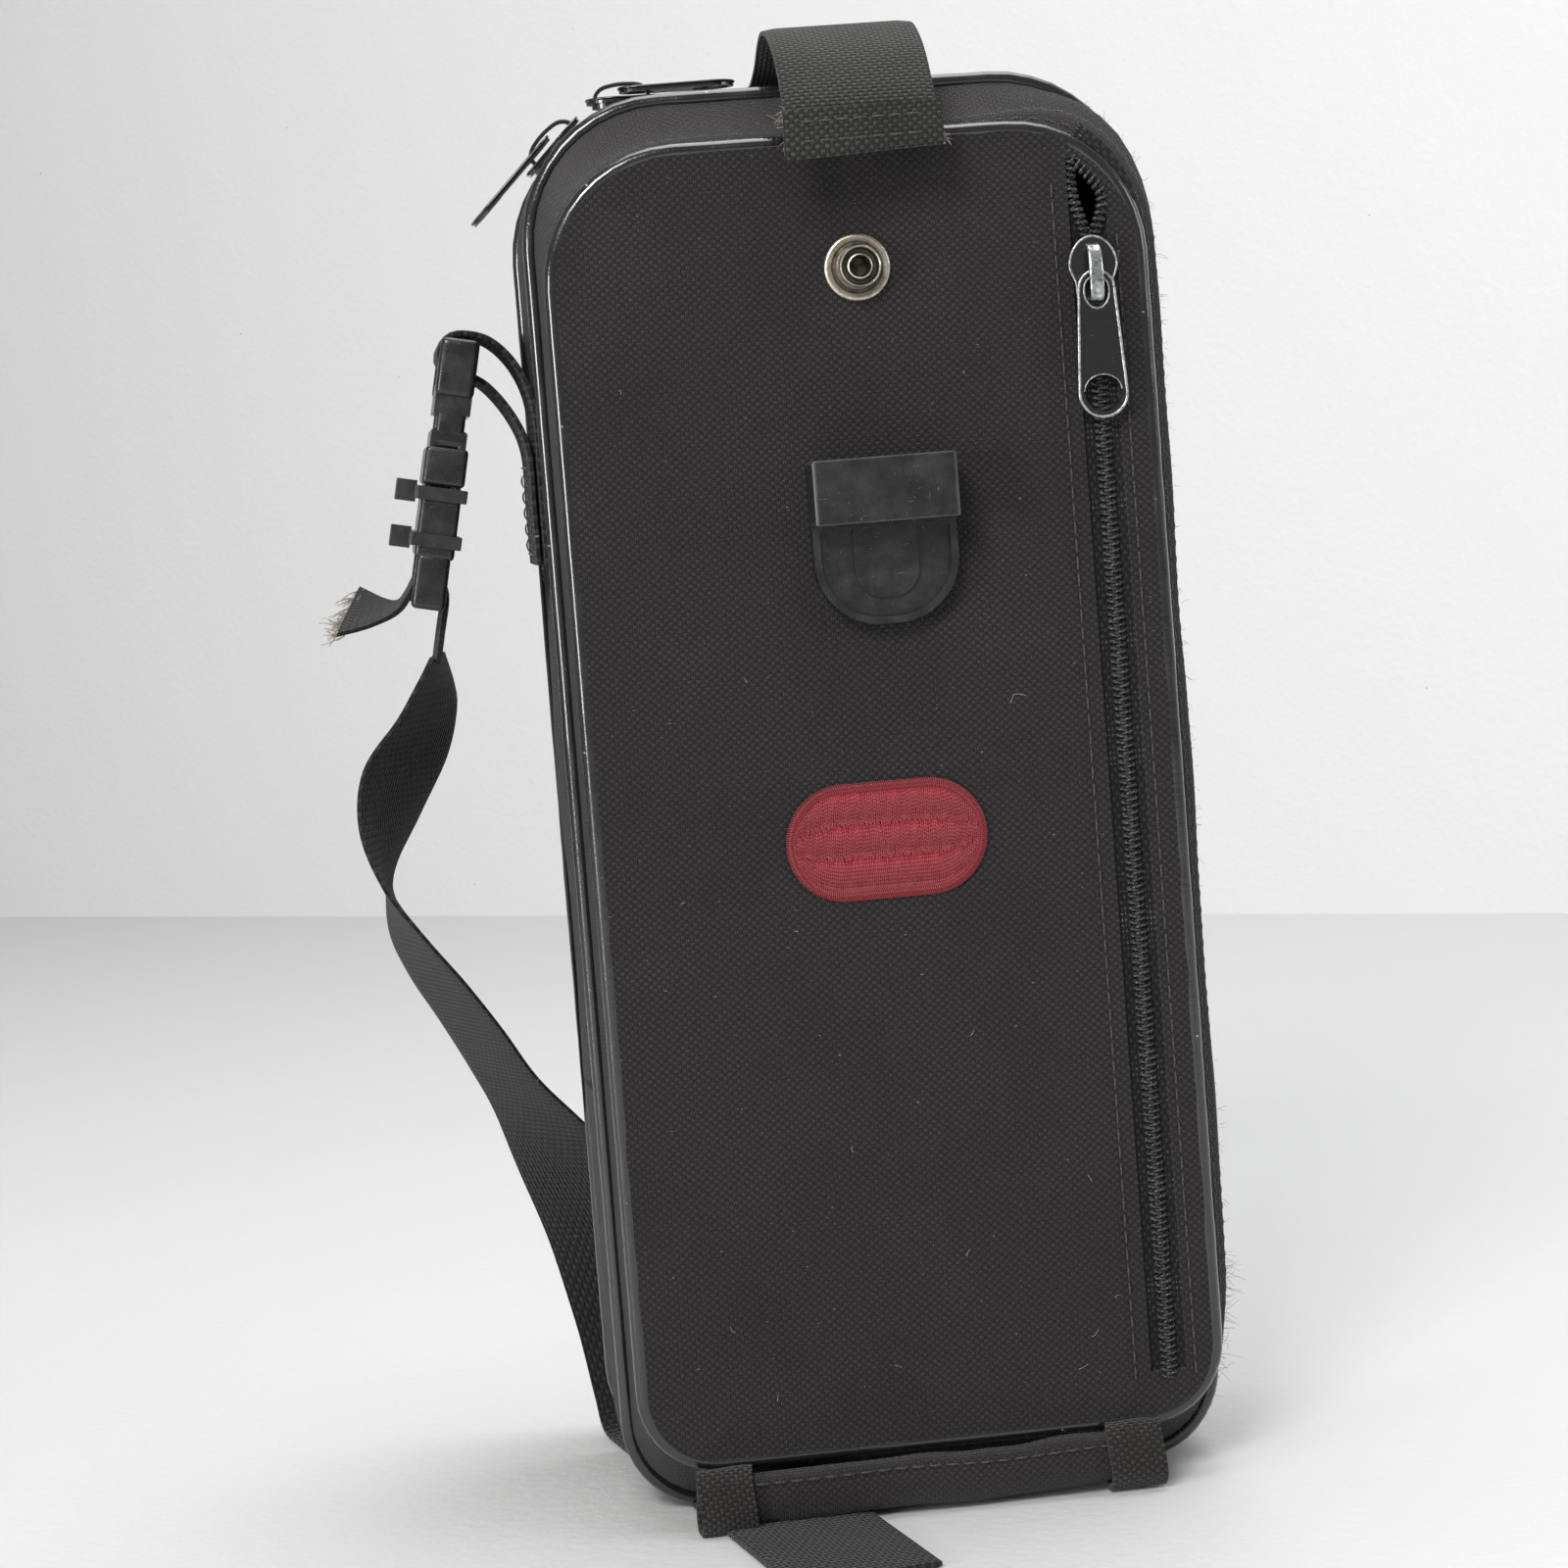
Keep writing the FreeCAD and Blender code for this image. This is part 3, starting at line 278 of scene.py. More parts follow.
def thread(name, dark, light, gloss=0.45, sheen=0.3):
    """Twisted sewing thread: slanted plies along its length."""
    finish = Finish(name, Roughness=gloss, Sheen_Weight=sheen)
    place = finish.place("UV")
    u, v, _ = finish.parts(place)
    ply = finish.math("SINE", finish.math("MULTIPLY", finish.math("ADD", u, v), 9000.0))
    patch = finish.noise(place, 260.0, 2.0)
    finish.colour(finish.blend(finish.spread(patch, 0.35, 0.65), dark, light))
    finish.bump(ply, 0.00008, 0.6)
    return finish.material


def painted(name, level, warm=0.0):
    """Matt off-white wall or table, with a faint orange-peel skin and dust."""
    finish = Finish(name, Roughness=0.6)
    place = finish.place("Object")
    speck = finish.spread(finish.noise(place, 160.0, 2.0), 0.795, 0.81)
    soft = finish.noise(place, 2.2, 3.0)
    pale = finish.blend(soft, grey(level, warm), grey(level * 0.94, warm))
    finish.colour(finish.blend(speck, pale, grey(0.35, 0.1)))
    finish.bump(finish.noise(place, 330.0, 4.0), 0.0006, 0.35)
    return finish.material


FABRIC = woven("case_fabric", (0.0145, 0.0118, 0.0138, 1), (0.025, 0.0205, 0.0218, 1),
               0.00084, 0.00074, worn=(0.92, 1.1))
GUSSET = woven("gusset_fabric", (0.0145, 0.012, 0.0132, 1), (0.026, 0.0212, 0.022, 1),
               0.00078, 0.0007, worn=(0.86, 1.06))
LINING = woven("lining", (0.03, 0.031, 0.034, 1), (0.05, 0.051, 0.055, 1),
               0.0005, 0.0005, threads=1, depth=0.00008)
TAPE = woven("zip_tape", (0.009, 0.009, 0.01, 1), (0.018, 0.017, 0.018, 1),
             0.0011, 0.0007, threads=1, depth=0.00014)
WEBBING = woven("webbing", (0.0085, 0.0088, 0.0088, 1), (0.017, 0.0168, 0.016, 1),
                0.0014, 0.0009, threads=1, depth=0.0003, worn=(0.95, 1.1))
FADED_WEBBING = woven("faded_webbing", (0.017, 0.0175, 0.0145, 1), (0.036, 0.036, 0.03, 1),
                      0.0008, 0.0009, threads=1, depth=0.00026, worn=(0.9, 1.1),
                      worn_colour=grey(0.1, 0.08))
WORN_WEBBING = woven("worn_webbing", (0.014, 0.0125, 0.012, 1), (0.031, 0.028, 0.026, 1),
                     0.0008, 0.0009, threads=1, depth=0.00024, worn=(0.8, 1.0),
                     worn_colour=grey(0.12, 0.08))
VINYL = vinyl()
HOOD = plastic("dock_plastic", 0.0085, 0.36, 0.14)
BUCKLE = plastic("buckle_plastic", 0.009, 0.3, 0.1)
NYLON = plastic("tie_nylon", 0.011, 0.36, 0.08)
SCUFFED = plastic("scuffed_edge", 0.03, 0.4, 0.2)
NICKEL = metal("plated_metal", (0.62, 0.59, 0.53, 1), (0.33, 0.27, 0.19, 1), 0.27)
BARE_EDGE = metal("bare_edge", (0.6, 0.6, 0.6, 1), (0.16, 0.155, 0.15, 1), 0.3, 1100.0)
TARNISH = metal("tarnish", (0.1, 0.09, 0.075, 1), (0.035, 0.03, 0.026, 1), 0.45)
ENAMEL = enamel()
BRIDGE = metal("bridge_metal", (0.66, 0.68, 0.68, 1), (0.12, 0.125, 0.13, 1), 0.24, 900.0)
COIL = thread("coil_nylon", (0.012, 0.012, 0.013, 1), (0.035, 0.035, 0.038, 1), 0.24, 0.0)
BLACK_THREAD = thread("black_thread", (0.02, 0.018, 0.018, 1), (0.05, 0.045, 0.043, 1))
RED_THREAD = thread("red_thread", (0.17, 0.004, 0.011, 1), (0.33, 0.012, 0.026, 1), 0.42, 0.1)
PALE_THREAD = thread("pale_thread", (0.2, 0.17, 0.13, 1), (0.46, 0.41, 0.35, 1), 0.7, 0.2)


# ---------------------------------------------------------------- meshes


def finish_mesh(name, vertices, faces, uv, material, capped=True):
    """An object from vertices in mm and faces, welded, closed and smooth."""
    mesh = bpy.data.meshes.new(name)
    mesh.from_pydata((np.asarray(vertices, float) * MM).tolist(), [], faces)
    layer = mesh.uv_layers.new(name="cloth")
    corners = np.empty(len(mesh.loops), int)
    mesh.loops.foreach_get("vertex_index", corners)
    layer.data.foreach_set("uv", (np.asarray(uv, float)[corners] * MM).ravel())
    work = bmesh.new()
    work.from_mesh(mesh)
    bmesh.ops.remove_doubles(work, verts=work.verts, dist=2e-6)
    bmesh.ops.dissolve_degenerate(work, dist=1e-6, edges=work.edges)
    if capped:
        edges = [edge for edge in work.edges if edge.is_boundary]
        bmesh.ops.holes_fill(work, edges=edges)
    bmesh.ops.recalc_face_normals(work, faces=work.faces)
    work.to_mesh(mesh)
    work.free()
    mesh.materials.append(material)
    mesh.shade_smooth()
    mesh.set_sharp_from_angle(angle=math.radians(50))
    item = bpy.data.objects.new(name, mesh)
    bpy.context.scene.collection.objects.link(item)
    return item


def grid_faces(rows, columns, start=0):
    """Quads of a grid whose vertices run row by row."""
    faces = []
    for row in range(rows - 1):
        for column in range(columns - 1):
            first = start + row * columns + column
            faces.append((first, first + 1, first + columns + 1, first + columns))
    return faces


def skin(name, points, uv, material, capped=True):
    """A surface through a grid of points, shaped (rows, columns, 3)."""
    rows, columns, _ = points.shape
    return finish_mesh(name, points.reshape(-1, 3), grid_faces(rows, columns),
                       uv.reshape(-1, 2), material, capped)


def running(points):
    """Distance along a line of points."""
    steps = np.linalg.norm(np.diff(points, axis=0), axis=1)
    return np.concatenate([[0], np.cumsum(steps)])


def resample(points, step):
    """The same line with evenly spaced points."""
    points = np.asarray(points, float)
    length = running(points)
    count = max(2, int(round(length[-1] / step)) + 1)
    at = np.linspace(0, length[-1], count)
    return np.stack([np.interp(at, length, points[:, axis]) for axis in range(3)], 1)


def curved(stations, step):
    """A smooth line through stations, each a row of numbers, every step mm."""
    stations = np.asarray(stations, float)
    ends = [2 * stations[0] - stations[1], 2 * stations[-1] - stations[-2]]
    held = np.vstack([ends[0], stations, ends[1]])
    line = []
    for at in range(1, len(held) - 2):
        before, first, second, after = held[at - 1:at + 3]
        count = max(1, int(np.linalg.norm(second[:3] - first[:3]) / step))
        for t in np.arange(count) / count:
            line.append(0.5 * (2 * first + (second - before) * t
                               + (2 * before - 5 * first + 4 * second - after) * t * t
                               + (3 * first - before - 3 * second + after) * t ** 3))
    line.append(stations[-1])
    return np.array(line)


def tube(points, radius, side, sides):
    """Ring points round a line; side is a direction across it, radius may vary."""
    ahead = np.gradient(points, axis=0)
    ahead /= np.linalg.norm(ahead, axis=1)[:, None]
    across = np.broadcast_to(np.asarray(side, float), points.shape)
    across = across - ahead * np.sum(across * ahead, 1)[:, None]
    across /= np.maximum(np.linalg.norm(across, axis=1), 1e-9)[:, None]
    up = np.cross(ahead, across)
    turn = np.linspace(0, 2 * math.pi, sides + 1)
    radius = np.broadcast_to(np.asarray(radius, float), len(points))
    rings = (points[:, None] + across[:, None] * (np.cos(turn) * radius[:, None])[..., None]
             + up[:, None] * (np.sin(turn) * radius[:, None])[..., None])
    rings[:, -1] = rings[:, 0]
    around = turn[None] * radius[:, None]
    along = np.broadcast_to(running(points)[:, None], around.shape)
    return rings, np.stack([along, around], -1)


def strands(name, lines, material, sides=5):
    """Many thin threads in one piece. A line is (points, radius, side)."""
    vertices, faces, places, start = [], [], [], 0
    for points, radius, side in lines:
        rings, uv = tube(points, radius, side, sides)
        rows = len(points)
        for row in range(rows - 1):
            for column in range(sides):
                after = (column + 1) % sides
                first = start + row * sides
                faces.append((first + column, first + after,
                              first + sides + after, first + sides + column))
        faces.append(tuple(range(start, start + sides)))
        last = start + (rows - 1) * sides
        faces.append(tuple(range(last + sides - 1, last - 1, -1)))
        vertices.append(rings[:, :-1].reshape(-1, 3))
        places.append(uv[:, :-1].reshape(-1, 2))
        start += rows * sides
    mesh = bpy.data.meshes.new(name)
    mesh.from_pydata((np.concatenate(vertices) * MM).tolist(), [], faces)
    layer = mesh.uv_layers.new(name="cloth")
    corners = np.empty(len(mesh.loops), int)
    mesh.loops.foreach_get("vertex_index", corners)
    layer.data.foreach_set("uv", (np.concatenate(places)[corners] * MM).ravel())
    mesh.materials.append(material)
    mesh.shade_smooth()
    item = bpy.data.objects.new(name, mesh)
    bpy.context.scene.collection.objects.link(item)
    return item


def stitches(points, out, length=2.5, gap=0.8, radius=0.2, lift=0.12):
    """Short arched threads along a line, out being the way off the fabric."""
    line = resample(points, 0.25)
    along = running(line)
    out = np.asarray(out, float)
    made = []
    at = gap
    while at + length < along[-1]:
        t = np.linspace(0, 1, 6)
        spot = np.stack([np.interp(at + t * length, along, line[:, axis])
                         for axis in range(3)], 1)
        if out.ndim > 1:
            near = min(int(np.searchsorted(along, at) * len(out) / len(line)), len(out) - 1)
            way = out[near]
        else:
            way = out
        arch = np.sin(t * math.pi) * (lift + radius) - radius * 0.6
        size = radius * (0.55 + 0.45 * np.sin(t * math.pi))
        side = np.cross(way, spot[-1] - spot[0])
        made.append((spot + way * arch[:, None], size, side))
        at += length + gap
    return made


SIDE_STEPS, TOP_STEPS, BOTTOM_STEPS, CORNER_STEPS = 90, 30, 14, 11


def outline(shape):
    """Points (x, z) and outward normals round a box with rounded corners.

    It runs anticlockwise from the middle of the bottom and back to it."""
    half, low, high, low_radius, high_radius = shape
    corners = [(half - low_radius, low + low_radius, low_radius, -90, BOTTOM_STEPS),
               (half - high_radius, high - high_radius, high_radius, 0, SIDE_STEPS),
               (high_radius - half, high - high_radius, high_radius, 90, TOP_STEPS),
               (low_radius - half, low + low_radius, low_radius, 180, SIDE_STEPS)]
    points, normals = [np.array([0.0, low])], [np.array([0.0, -1.0])]

    def run_to(spot, normal, count):
        first = points[-1]
        for share in np.arange(1, count + 1) / count:
            points.append(first + (spot - first) * share)
            normals.append(normal)

    for x, z, size, start, count in corners:
        for place, turn in enumerate(np.radians(np.linspace(start, start + 90, CORNER_STEPS))):
            normal = np.array([math.cos(turn), math.sin(turn)])
            run_to(np.array([x, z]) + size * normal, normal, 1 if place else count)
    run_to(np.array([0.0, low]), normals[0], BOTTOM_STEPS)
    return np.array(points), np.array(normals)


def part_of(shape, level, upper):
    """The part of an outline above or below a level on its straight sides."""
    points, normals = outline(shape)
    if not upper:
        middle = len(points) // 2
        points = np.roll(points[:-1], -middle, axis=0)
        normals = np.roll(normals[:-1], -middle, axis=0)
    inside = points[:, 1] > level + 1 if upper else points[:, 1] < level - 1
    points, normals = points[inside], normals[inside]
    first, last = points[0].copy(), points[-1].copy()
    first[1] = last[1] = level
    points = np.vstack([first, points, last])
    normals = np.vstack([normals[0], normals, normals[-1]])
    return points, normals


def carried(line, profile):
    """A cross-section of (offset, y) pairs carried along an outline: a grid of points."""
    points, normals = line
    grid = np.empty((len(profile), len(points), 3))
    for row, (offset, y) in enumerate(profile):
        grid[row, :, 0] = points[:, 0] + normals[:, 0] * offset
        grid[row, :, 1] = y
        grid[row, :, 2] = points[:, 1] + normals[:, 1] * offset
    return grid


def cloth_uv(grid):
    """Flat cloth coordinates in mm: along the rows and across them."""
    along = running(grid[len(grid) // 4])
    across = running(grid[:, grid.shape[1] // 4])
    return np.stack(np.broadcast_arrays(along[None], across[:, None]), -1)


def ripple(points, size, seed=0.0):
    """Smooth random numbers from -1 to 1 at each point, size being a wave's length."""
    flat = points.reshape(-1, 3)
    rough = [noise.noise(Vector(point / size) + Vector((seed, seed, seed))) for point in flat]
    return np.array(rough).reshape(points.shape[:-1])


def smooth_step(amount, low, high):
    """0 below low, 1 above high, and smooth between."""
    share = np.clip((amount - low) / (high - low), 0, 1)
    return share * share * (3 - 2 * share)


def crossing(item):
    """Bakes a piece's placement into its mesh; it is neither bent nor attached to a body."""
    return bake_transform(item)


# ---------------------------------------------------------------- stage


def camera():
    """The camera, a little left of the front and rolled, as the case was seen."""
    azimuth, elevation, roll = math.radians(-6.0), math.radians(5.0), math.radians(-4.5)
    target, distance = Vector((-0.0195, -0.033, 0.1405)), 0.7
    back = Vector((math.sin(azimuth) * math.cos(elevation),
                   -math.cos(azimuth) * math.cos(elevation), math.sin(elevation)))
    data = bpy.data.cameras.new("camera")
    data.lens = 86
    item = bpy.data.objects.new("camera", data)
    turned = back.to_track_quat("Z", "Y").to_matrix().to_4x4() @ Matrix.Rotation(roll, 4, "Z")
    item.matrix_world = Matrix.Translation(target + back * distance) @ turned
    bpy.context.scene.collection.objects.link(item)
    bpy.context.scene.camera = item


def area_light(name, place, aim, size, power, tint):
    """A soft square light that faces a point."""
    data = bpy.data.lights.new(name, "AREA")
    data.size = size
    data.energy = power
    data.color = tint
    item = bpy.data.objects.new(name, data)
    item.location = place
    way = Vector(place) - Vector(aim)
    item.rotation_euler = way.to_track_quat("Z", "Y").to_euler()
    bpy.context.scene.collection.objects.link(item)


def flat_sheet(name, corners, material):
    """A stage plane from four corners in metres."""
    mesh = bpy.data.meshes.new(name)
    mesh.from_pydata(corners, [], [(0, 1, 2, 3)])
    mesh.materials.append(material)
    item = bpy.data.objects.new(name, mesh)
    bpy.context.scene.collection.objects.link(item)


def stage():
    """A pale table in front of a slanting pale wall, window light and a dim room."""
    wide, near, far, high = 4.0, -3.0, 4.0, 3.0
    flat_sheet("table", [(-wide, near, 0), (wide, near, 0), (wide, far, 0), (-wide, far, 0)],
               painted("table_paint", 0.66))
    turn, clearance = math.radians(-38), 0.76
    middle = Vector((-math.sin(turn), math.cos(turn), 0)) * clearance
    along = Vector((math.cos(turn), math.sin(turn), 0)) * wide
    up = Vector((0, 0, high))
    corners = [middle - along, middle + along, middle + along + up, middle - along + up]
    flat_sheet("wall", [tuple(corner) for corner in corners], painted("wall_paint", 0.74))
    middle = (0, 0, 0.13)
    area_light("window", (-0.5, -1.15, 1.0), middle, 0.5, 17, (1.0, 0.99, 0.97))
    area_light("side_window", (-1.2, -0.8, 0.25), middle, 0.4, 9, (0.98, 0.99, 1.0))
    area_light("fill", (1.1, -0.6, 0.5), middle, 0.5, 3, (0.95, 0.97, 1.0))
    area_light("above", (0.1, 0.1, 1.3), middle, 0.9, 11, (1.0, 1.0, 1.0))
    bpy.context.scene.view_settings.view_transform = "Standard"
    world = bpy.data.worlds.new("room")
    world.use_nodes = True
    world.node_tree.nodes["Background"].inputs[0].default_value = (0.9, 0.91, 0.93, 1)
    world.node_tree.nodes["Background"].inputs[1].default_value = 0.3
    bpy.context.scene.world = world


# ---------------------------------------------------------------- case walls


def case_walls():
    """The padded gusset round the main compartment, above and below the fold."""
    rows = 9
    spread = np.linspace(0, 1, rows)

    def wall(name, line, front, rear, nodes, seed):
        bulge = 1.3 * np.sin(spread * math.pi) ** 0.8
        depths = front + (rear - front) * spread
        outer = list(zip(bulge, depths))
        inner = list(zip(-5.6 - 0.5 * np.sin(spread * math.pi), depths))[::-1]
        grid = carried(line, outer + inner + outer[:1])
        wave = ripple(grid[:rows], 23, seed) * (0.9 * np.sin(spread * math.pi))[:, None]
        left = smooth_step(-grid[:rows, :, 0], 40, 55)
        stub = left * (1 - smooth_step(np.abs(grid[:rows, :, 2] - 199), 18, 30))
        calm = 1 - stub
        normals = line[1]
        shift = wave * calm - bulge[:, None] * stub
        grid[:rows, :, 0] += normals[:, 0] * shift
        grid[:rows, :, 2] += normals[:, 1] * shift
        grid[-1] = grid[0]
        across = np.abs((grid[:rows, :, 0] - STRAP_UNDER[0]) * math.cos(STRAP_TURN)
                        + (grid[:rows, :, 1] - STRAP_UNDER[1]) * math.sin(STRAP_TURN))
        channel = STRAP_CHANNEL * (1 - smooth_step(across, *CHANNEL_SIDE))
        grid[:rows, :, 2] = np.maximum(grid[:rows, :, 2], channel)
        grid[-1] = grid[0]
        item = skin(name, grid, cloth_uv(grid), GUSSET)
        item.data.materials.append(LINING)
        for face in item.data.polygons:
            x, _, z = face.center / MM
            face.material_index = int(abs(x) < 53.5 and 4.5 < z < 265)
        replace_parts(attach(item, "case"), *nodes)

    wall("side_wall", part_of(CASE_SHAPE, SEAM_Z, True), 3.8, 31.8,
         ("side_gusset", "side_foam", "side_lining"), 1.0)
    wall("bottom_wall", part_of(CASE_SHAPE, SEAM_Z, False), -9.2, 31.8,
         ("bottom_gusset", "bottom_foam", "bottom_lining"), 5.0)


def front_band():
    """The narrow gusset strip between the main zip and the cover piping."""
    outer = [(0.0, -13.9), (0.35, -12.5), (0.3, -10.8), (0.0, -8.8)]
    inner = [(offset - 1.3, y) for offset, y in outer[::-1]]
    grid = carried(outline(CASE_SHAPE), outer + inner + outer[:1])
    item = crossing(skin("front_band", grid, cloth_uv(grid), GUSSET, capped=False))
    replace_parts(item, "front_gusset")


def side_rows(shape, count):
    """Half widths and heights of the rows that fill a rounded box."""
    half, low, high, low_radius, high_radius = shape
    lower = np.radians(np.linspace(-90, 0, 14))
    upper = np.radians(np.linspace(0, 90, 18))
    z = np.concatenate([low + low_radius + low_radius * np.sin(lower),
                        np.linspace(low + low_radius, high - high_radius, count)[1:-1],
                        high - high_radius + high_radius * np.sin(upper)])
    reach = np.concatenate([half - low_radius + low_radius * np.cos(lower),
                            np.full(count - 2, half),
                            half - high_radius + high_radius * np.cos(upper)])
    return reach, z


def slab(name, x, z, front, rear, skip, materials):
    """A closed panel over a grid of (x, z): front and rear are its y at each point."""
    rows, columns = x.shape
    count = rows * columns
    cells = [face for place, face in enumerate(grid_faces(rows, columns))
             if not skip[place // (columns - 1), place % (columns - 1)]]
    edges = {}
    for face in cells:
        for first, second in zip(face, face[1:] + face[:1]):
            edges[(first, second)] = edges.get((second, first), 0) + 1
    walls = [(first, first + count, second + count, second)
             for first, second in edges if (second, first) not in edges]
    back = [tuple(count + corner for corner in face[::-1]) for face in cells]
    points = np.concatenate([np.stack([x, front, z], -1).reshape(-1, 3),
                             np.stack([x, rear, z], -1).reshape(-1, 3)])
    uv = np.stack([x, z], -1).reshape(-1, 2)
    item = finish_mesh(name, points, cells + back + walls, np.concatenate([uv, uv]),
                       materials[0], capped=False)
    if len(materials) > 1:
        item.data.materials.append(materials[1])
        middle = float(np.mean((front + rear) / 2))
        toward = 1 if np.mean(rear) > np.mean(front) else -1
        for face in item.data.polygons:
            face.material_index = int((face.center.y / MM - middle) * toward > 0)
    return item


def filled(shape, columns, count):
    """A grid of (x, z) over a rounded box."""
    reach, z = side_rows(shape, count)
    share = np.linspace(-1, 1, columns)
    x = reach[:, None] * share[None]
    return x, np.broadcast_to(z[:, None], x.shape).copy()


def back_pad():
    """The padded back, crowned between its pipings."""
    x, z = filled((57.0, 1.0, 269.0, 15.5, 25.5), 45, 70)
    crown = (1 - (x / 57) ** 4) * (1 - ((z - 135) / 135) ** 6)
    points = np.stack([x, np.full_like(x, BACK_Y), z], -1)
    outer = 32.4 + 2.4 * np.clip(crown, 0, 1) + 0.7 * ripple(points, 47, 3.0) * crown
    inner = 27.2 - 0.5 * np.clip(crown, 0, 1)
    none = np.zeros((x.shape[0] - 1, x.shape[1] - 1), bool)
    item = slab("back_pad", x, z, outer, inner, none, (GUSSET, LINING))
    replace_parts(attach(item, "case"), "back_panel", "back_foam", "back_lining")


def cover_wall():
    """The padded wall between the pocket and the main compartment."""
    x, z = filled((57.0, 1.5, 269.0, 15.5, 25.5), 41, 90)
    crown = np.clip((1 - (x / 57) ** 4) * (1 - ((z - 135) / 135) ** 6), 0, 1)
    none = np.zeros((x.shape[0] - 1, x.shape[1] - 1), bool)
    item = slab("cover_wall", x, z, -14.9 - 0.3 * crown, -10.4 + 0.4 * crown, none,
                (GUSSET, LINING))
    crossing(item)
    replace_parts(item, "cover_panel", "cover_foam", "cover_lining",
                "lower_cover_panel", "lower_cover_foam", "lower_cover_lining")


# ---------------------------------------------------------------- piping


def piping(name, shape, y, nodes, fold, squeeze=0.0):
    """A glossy piping cord round an outline, with slight dents."""
    points, _ = outline(shape)
    line = np.stack([points[:, 0], np.full(len(points), y), points[:, 1]], 1)
    size = PIPING_RADIUS + 0.1 * ripple(line, 6.0, y) + squeeze
    rings, uv = tube(line, size, (0, 1, 0), 14)
    rings[-1] = rings[0]
    item = skin(name, rings, uv, VINYL, capped=False)
    if fold:
        crossing(item)
    else:
        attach(item, "case")
    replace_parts(item, *nodes)


def pipings():
    """Rear, cover and pocket piping."""
    rear = (57.5, 1.5, 269.5, 16.0, 26.0)
    piping("rear_piping_cord", rear, BACK_Y, ("rear_piping",), False)
    piping("cover_piping_cord", rear, COVER_Y, ("cover_piping", "lower_cover_piping"), True)
    piping("pocket_piping_cord", POCKET_SHAPE, POCKET_PIPING_Y,
           ("pocket_piping", "lower_pocket_piping"), True, 0.05)


# ---------------------------------------------------------------- pocket


def pocket_side_shape(y):
    """The pocket gusset's plain outline at a depth, from the cover piping to the pocket's."""
    share = (y + 15.8) / (-31.0 + 15.8)
    start, end = (57.0, 2.7, 269.0, 15.5, 25.5), (55.2, 12.8, 258.7, 14.2, 24.2)
    return tuple(first + (second - first) * share for first, second in zip(start, end))


def pocket_side_lift(spot, y):
    """How far the gusset stands off that outline: full on the right, hollow elsewhere."""
    free = math.sin(math.pi * (y + 15.8) / -15.2)
    right = smooth_step(spot[:, 0], 25, 52) * smooth_step(spot[:, 2], 8, 40)
    wave = 0.7 * ripple(spot * (1, 1, 0.7), 15, 9.0) + 0.5 * ripple(spot, 41, 4.0)
    fold = 0.9 * math.exp(-((y + 27.6) / 1.1) ** 2)
    low = smooth_step(spot[:, 2], 4, 22)
    return (free * (wave + 3.9 * right - 0.9 * (1 - right)) + fold) * low


def pocket_side():
    """The pocket's soft gusset: a skin that bulges, sags and wrinkles."""
    outer, inner = [], []
    for y in np.linspace(-15.8, -31.0, 20):
        points, normals = outline(pocket_side_shape(y))
        spot = np.insert(points, 1, y, axis=1)
        way = np.insert(normals, 1, 0.0, axis=1)
        moved = spot + way * pocket_side_lift(spot, y)[:, None]
        outer.append(moved)
        inner.append(moved - way * 1.3)
    grid = np.array(outer + inner[::-1] + outer[:1])
    item = crossing(skin("pocket_side", grid, cloth_uv(grid), GUSSET, capped=False))
    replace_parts(item, "pocket_gusset", "lower_pocket_gusset")
    for place, y in enumerate((-26.6, -28.7)):
        points, normals = outline(pocket_side_shape(y))
        spot = np.insert(points, 1, y, axis=1)
        way = np.insert(normals, 1, 0.0, axis=1)
        seam = spot + way * (pocket_side_lift(spot, y)[:, None] + 0.05)
        crossing(strands(f"pocket_side_stitches_{place}",
                         stitches(seam, way, 2.3, 0.9, 0.15, lift=0.0), BLACK_THREAD))


SMALL_PARTS = ((1.5, 235.0, 9.0), (2.5, 185.0, 24.0), (-1.0, 128.5, 19.0))


def pocket_surface(x, z):
    """y of the pocket's front: lightly crowned, but flat under the hardware."""
    calm = np.ones_like(x)
    for part_x, part_z, size in SMALL_PARTS:
        calm *= smooth_step(np.hypot(x - part_x, z - part_z), size, size + 13)
    calm *= 1 - smooth_step(x, 33, 39)
    points = np.stack([x, np.zeros_like(x), z], -1)
    wave = 0.85 * ripple(points * (1, 1, 0.6), 31, 2.0) + 0.3 * ripple(points, 12, 6.0)
    edge = (1 - (x / 55) ** 6) * (1 - ((z - 136) / 123) ** 8)
    return POCKET_FRONT_Y - calm * np.clip(edge, 0, 1) * (0.35 + wave)


def mouth_right(z):
    """The right edge of the pocket's zip opening: it follows the corner at the top."""
    half, _, high, _, radius = POCKET_SHAPE
    rise = np.clip(z - (high - radius), 0, radius)
    reach = half - radius + np.sqrt(radius ** 2 - rise ** 2)
    return np.maximum(np.minimum(ZIP_EDGE_RIGHT, reach - 3.4), ZIP_EDGE_LEFT)


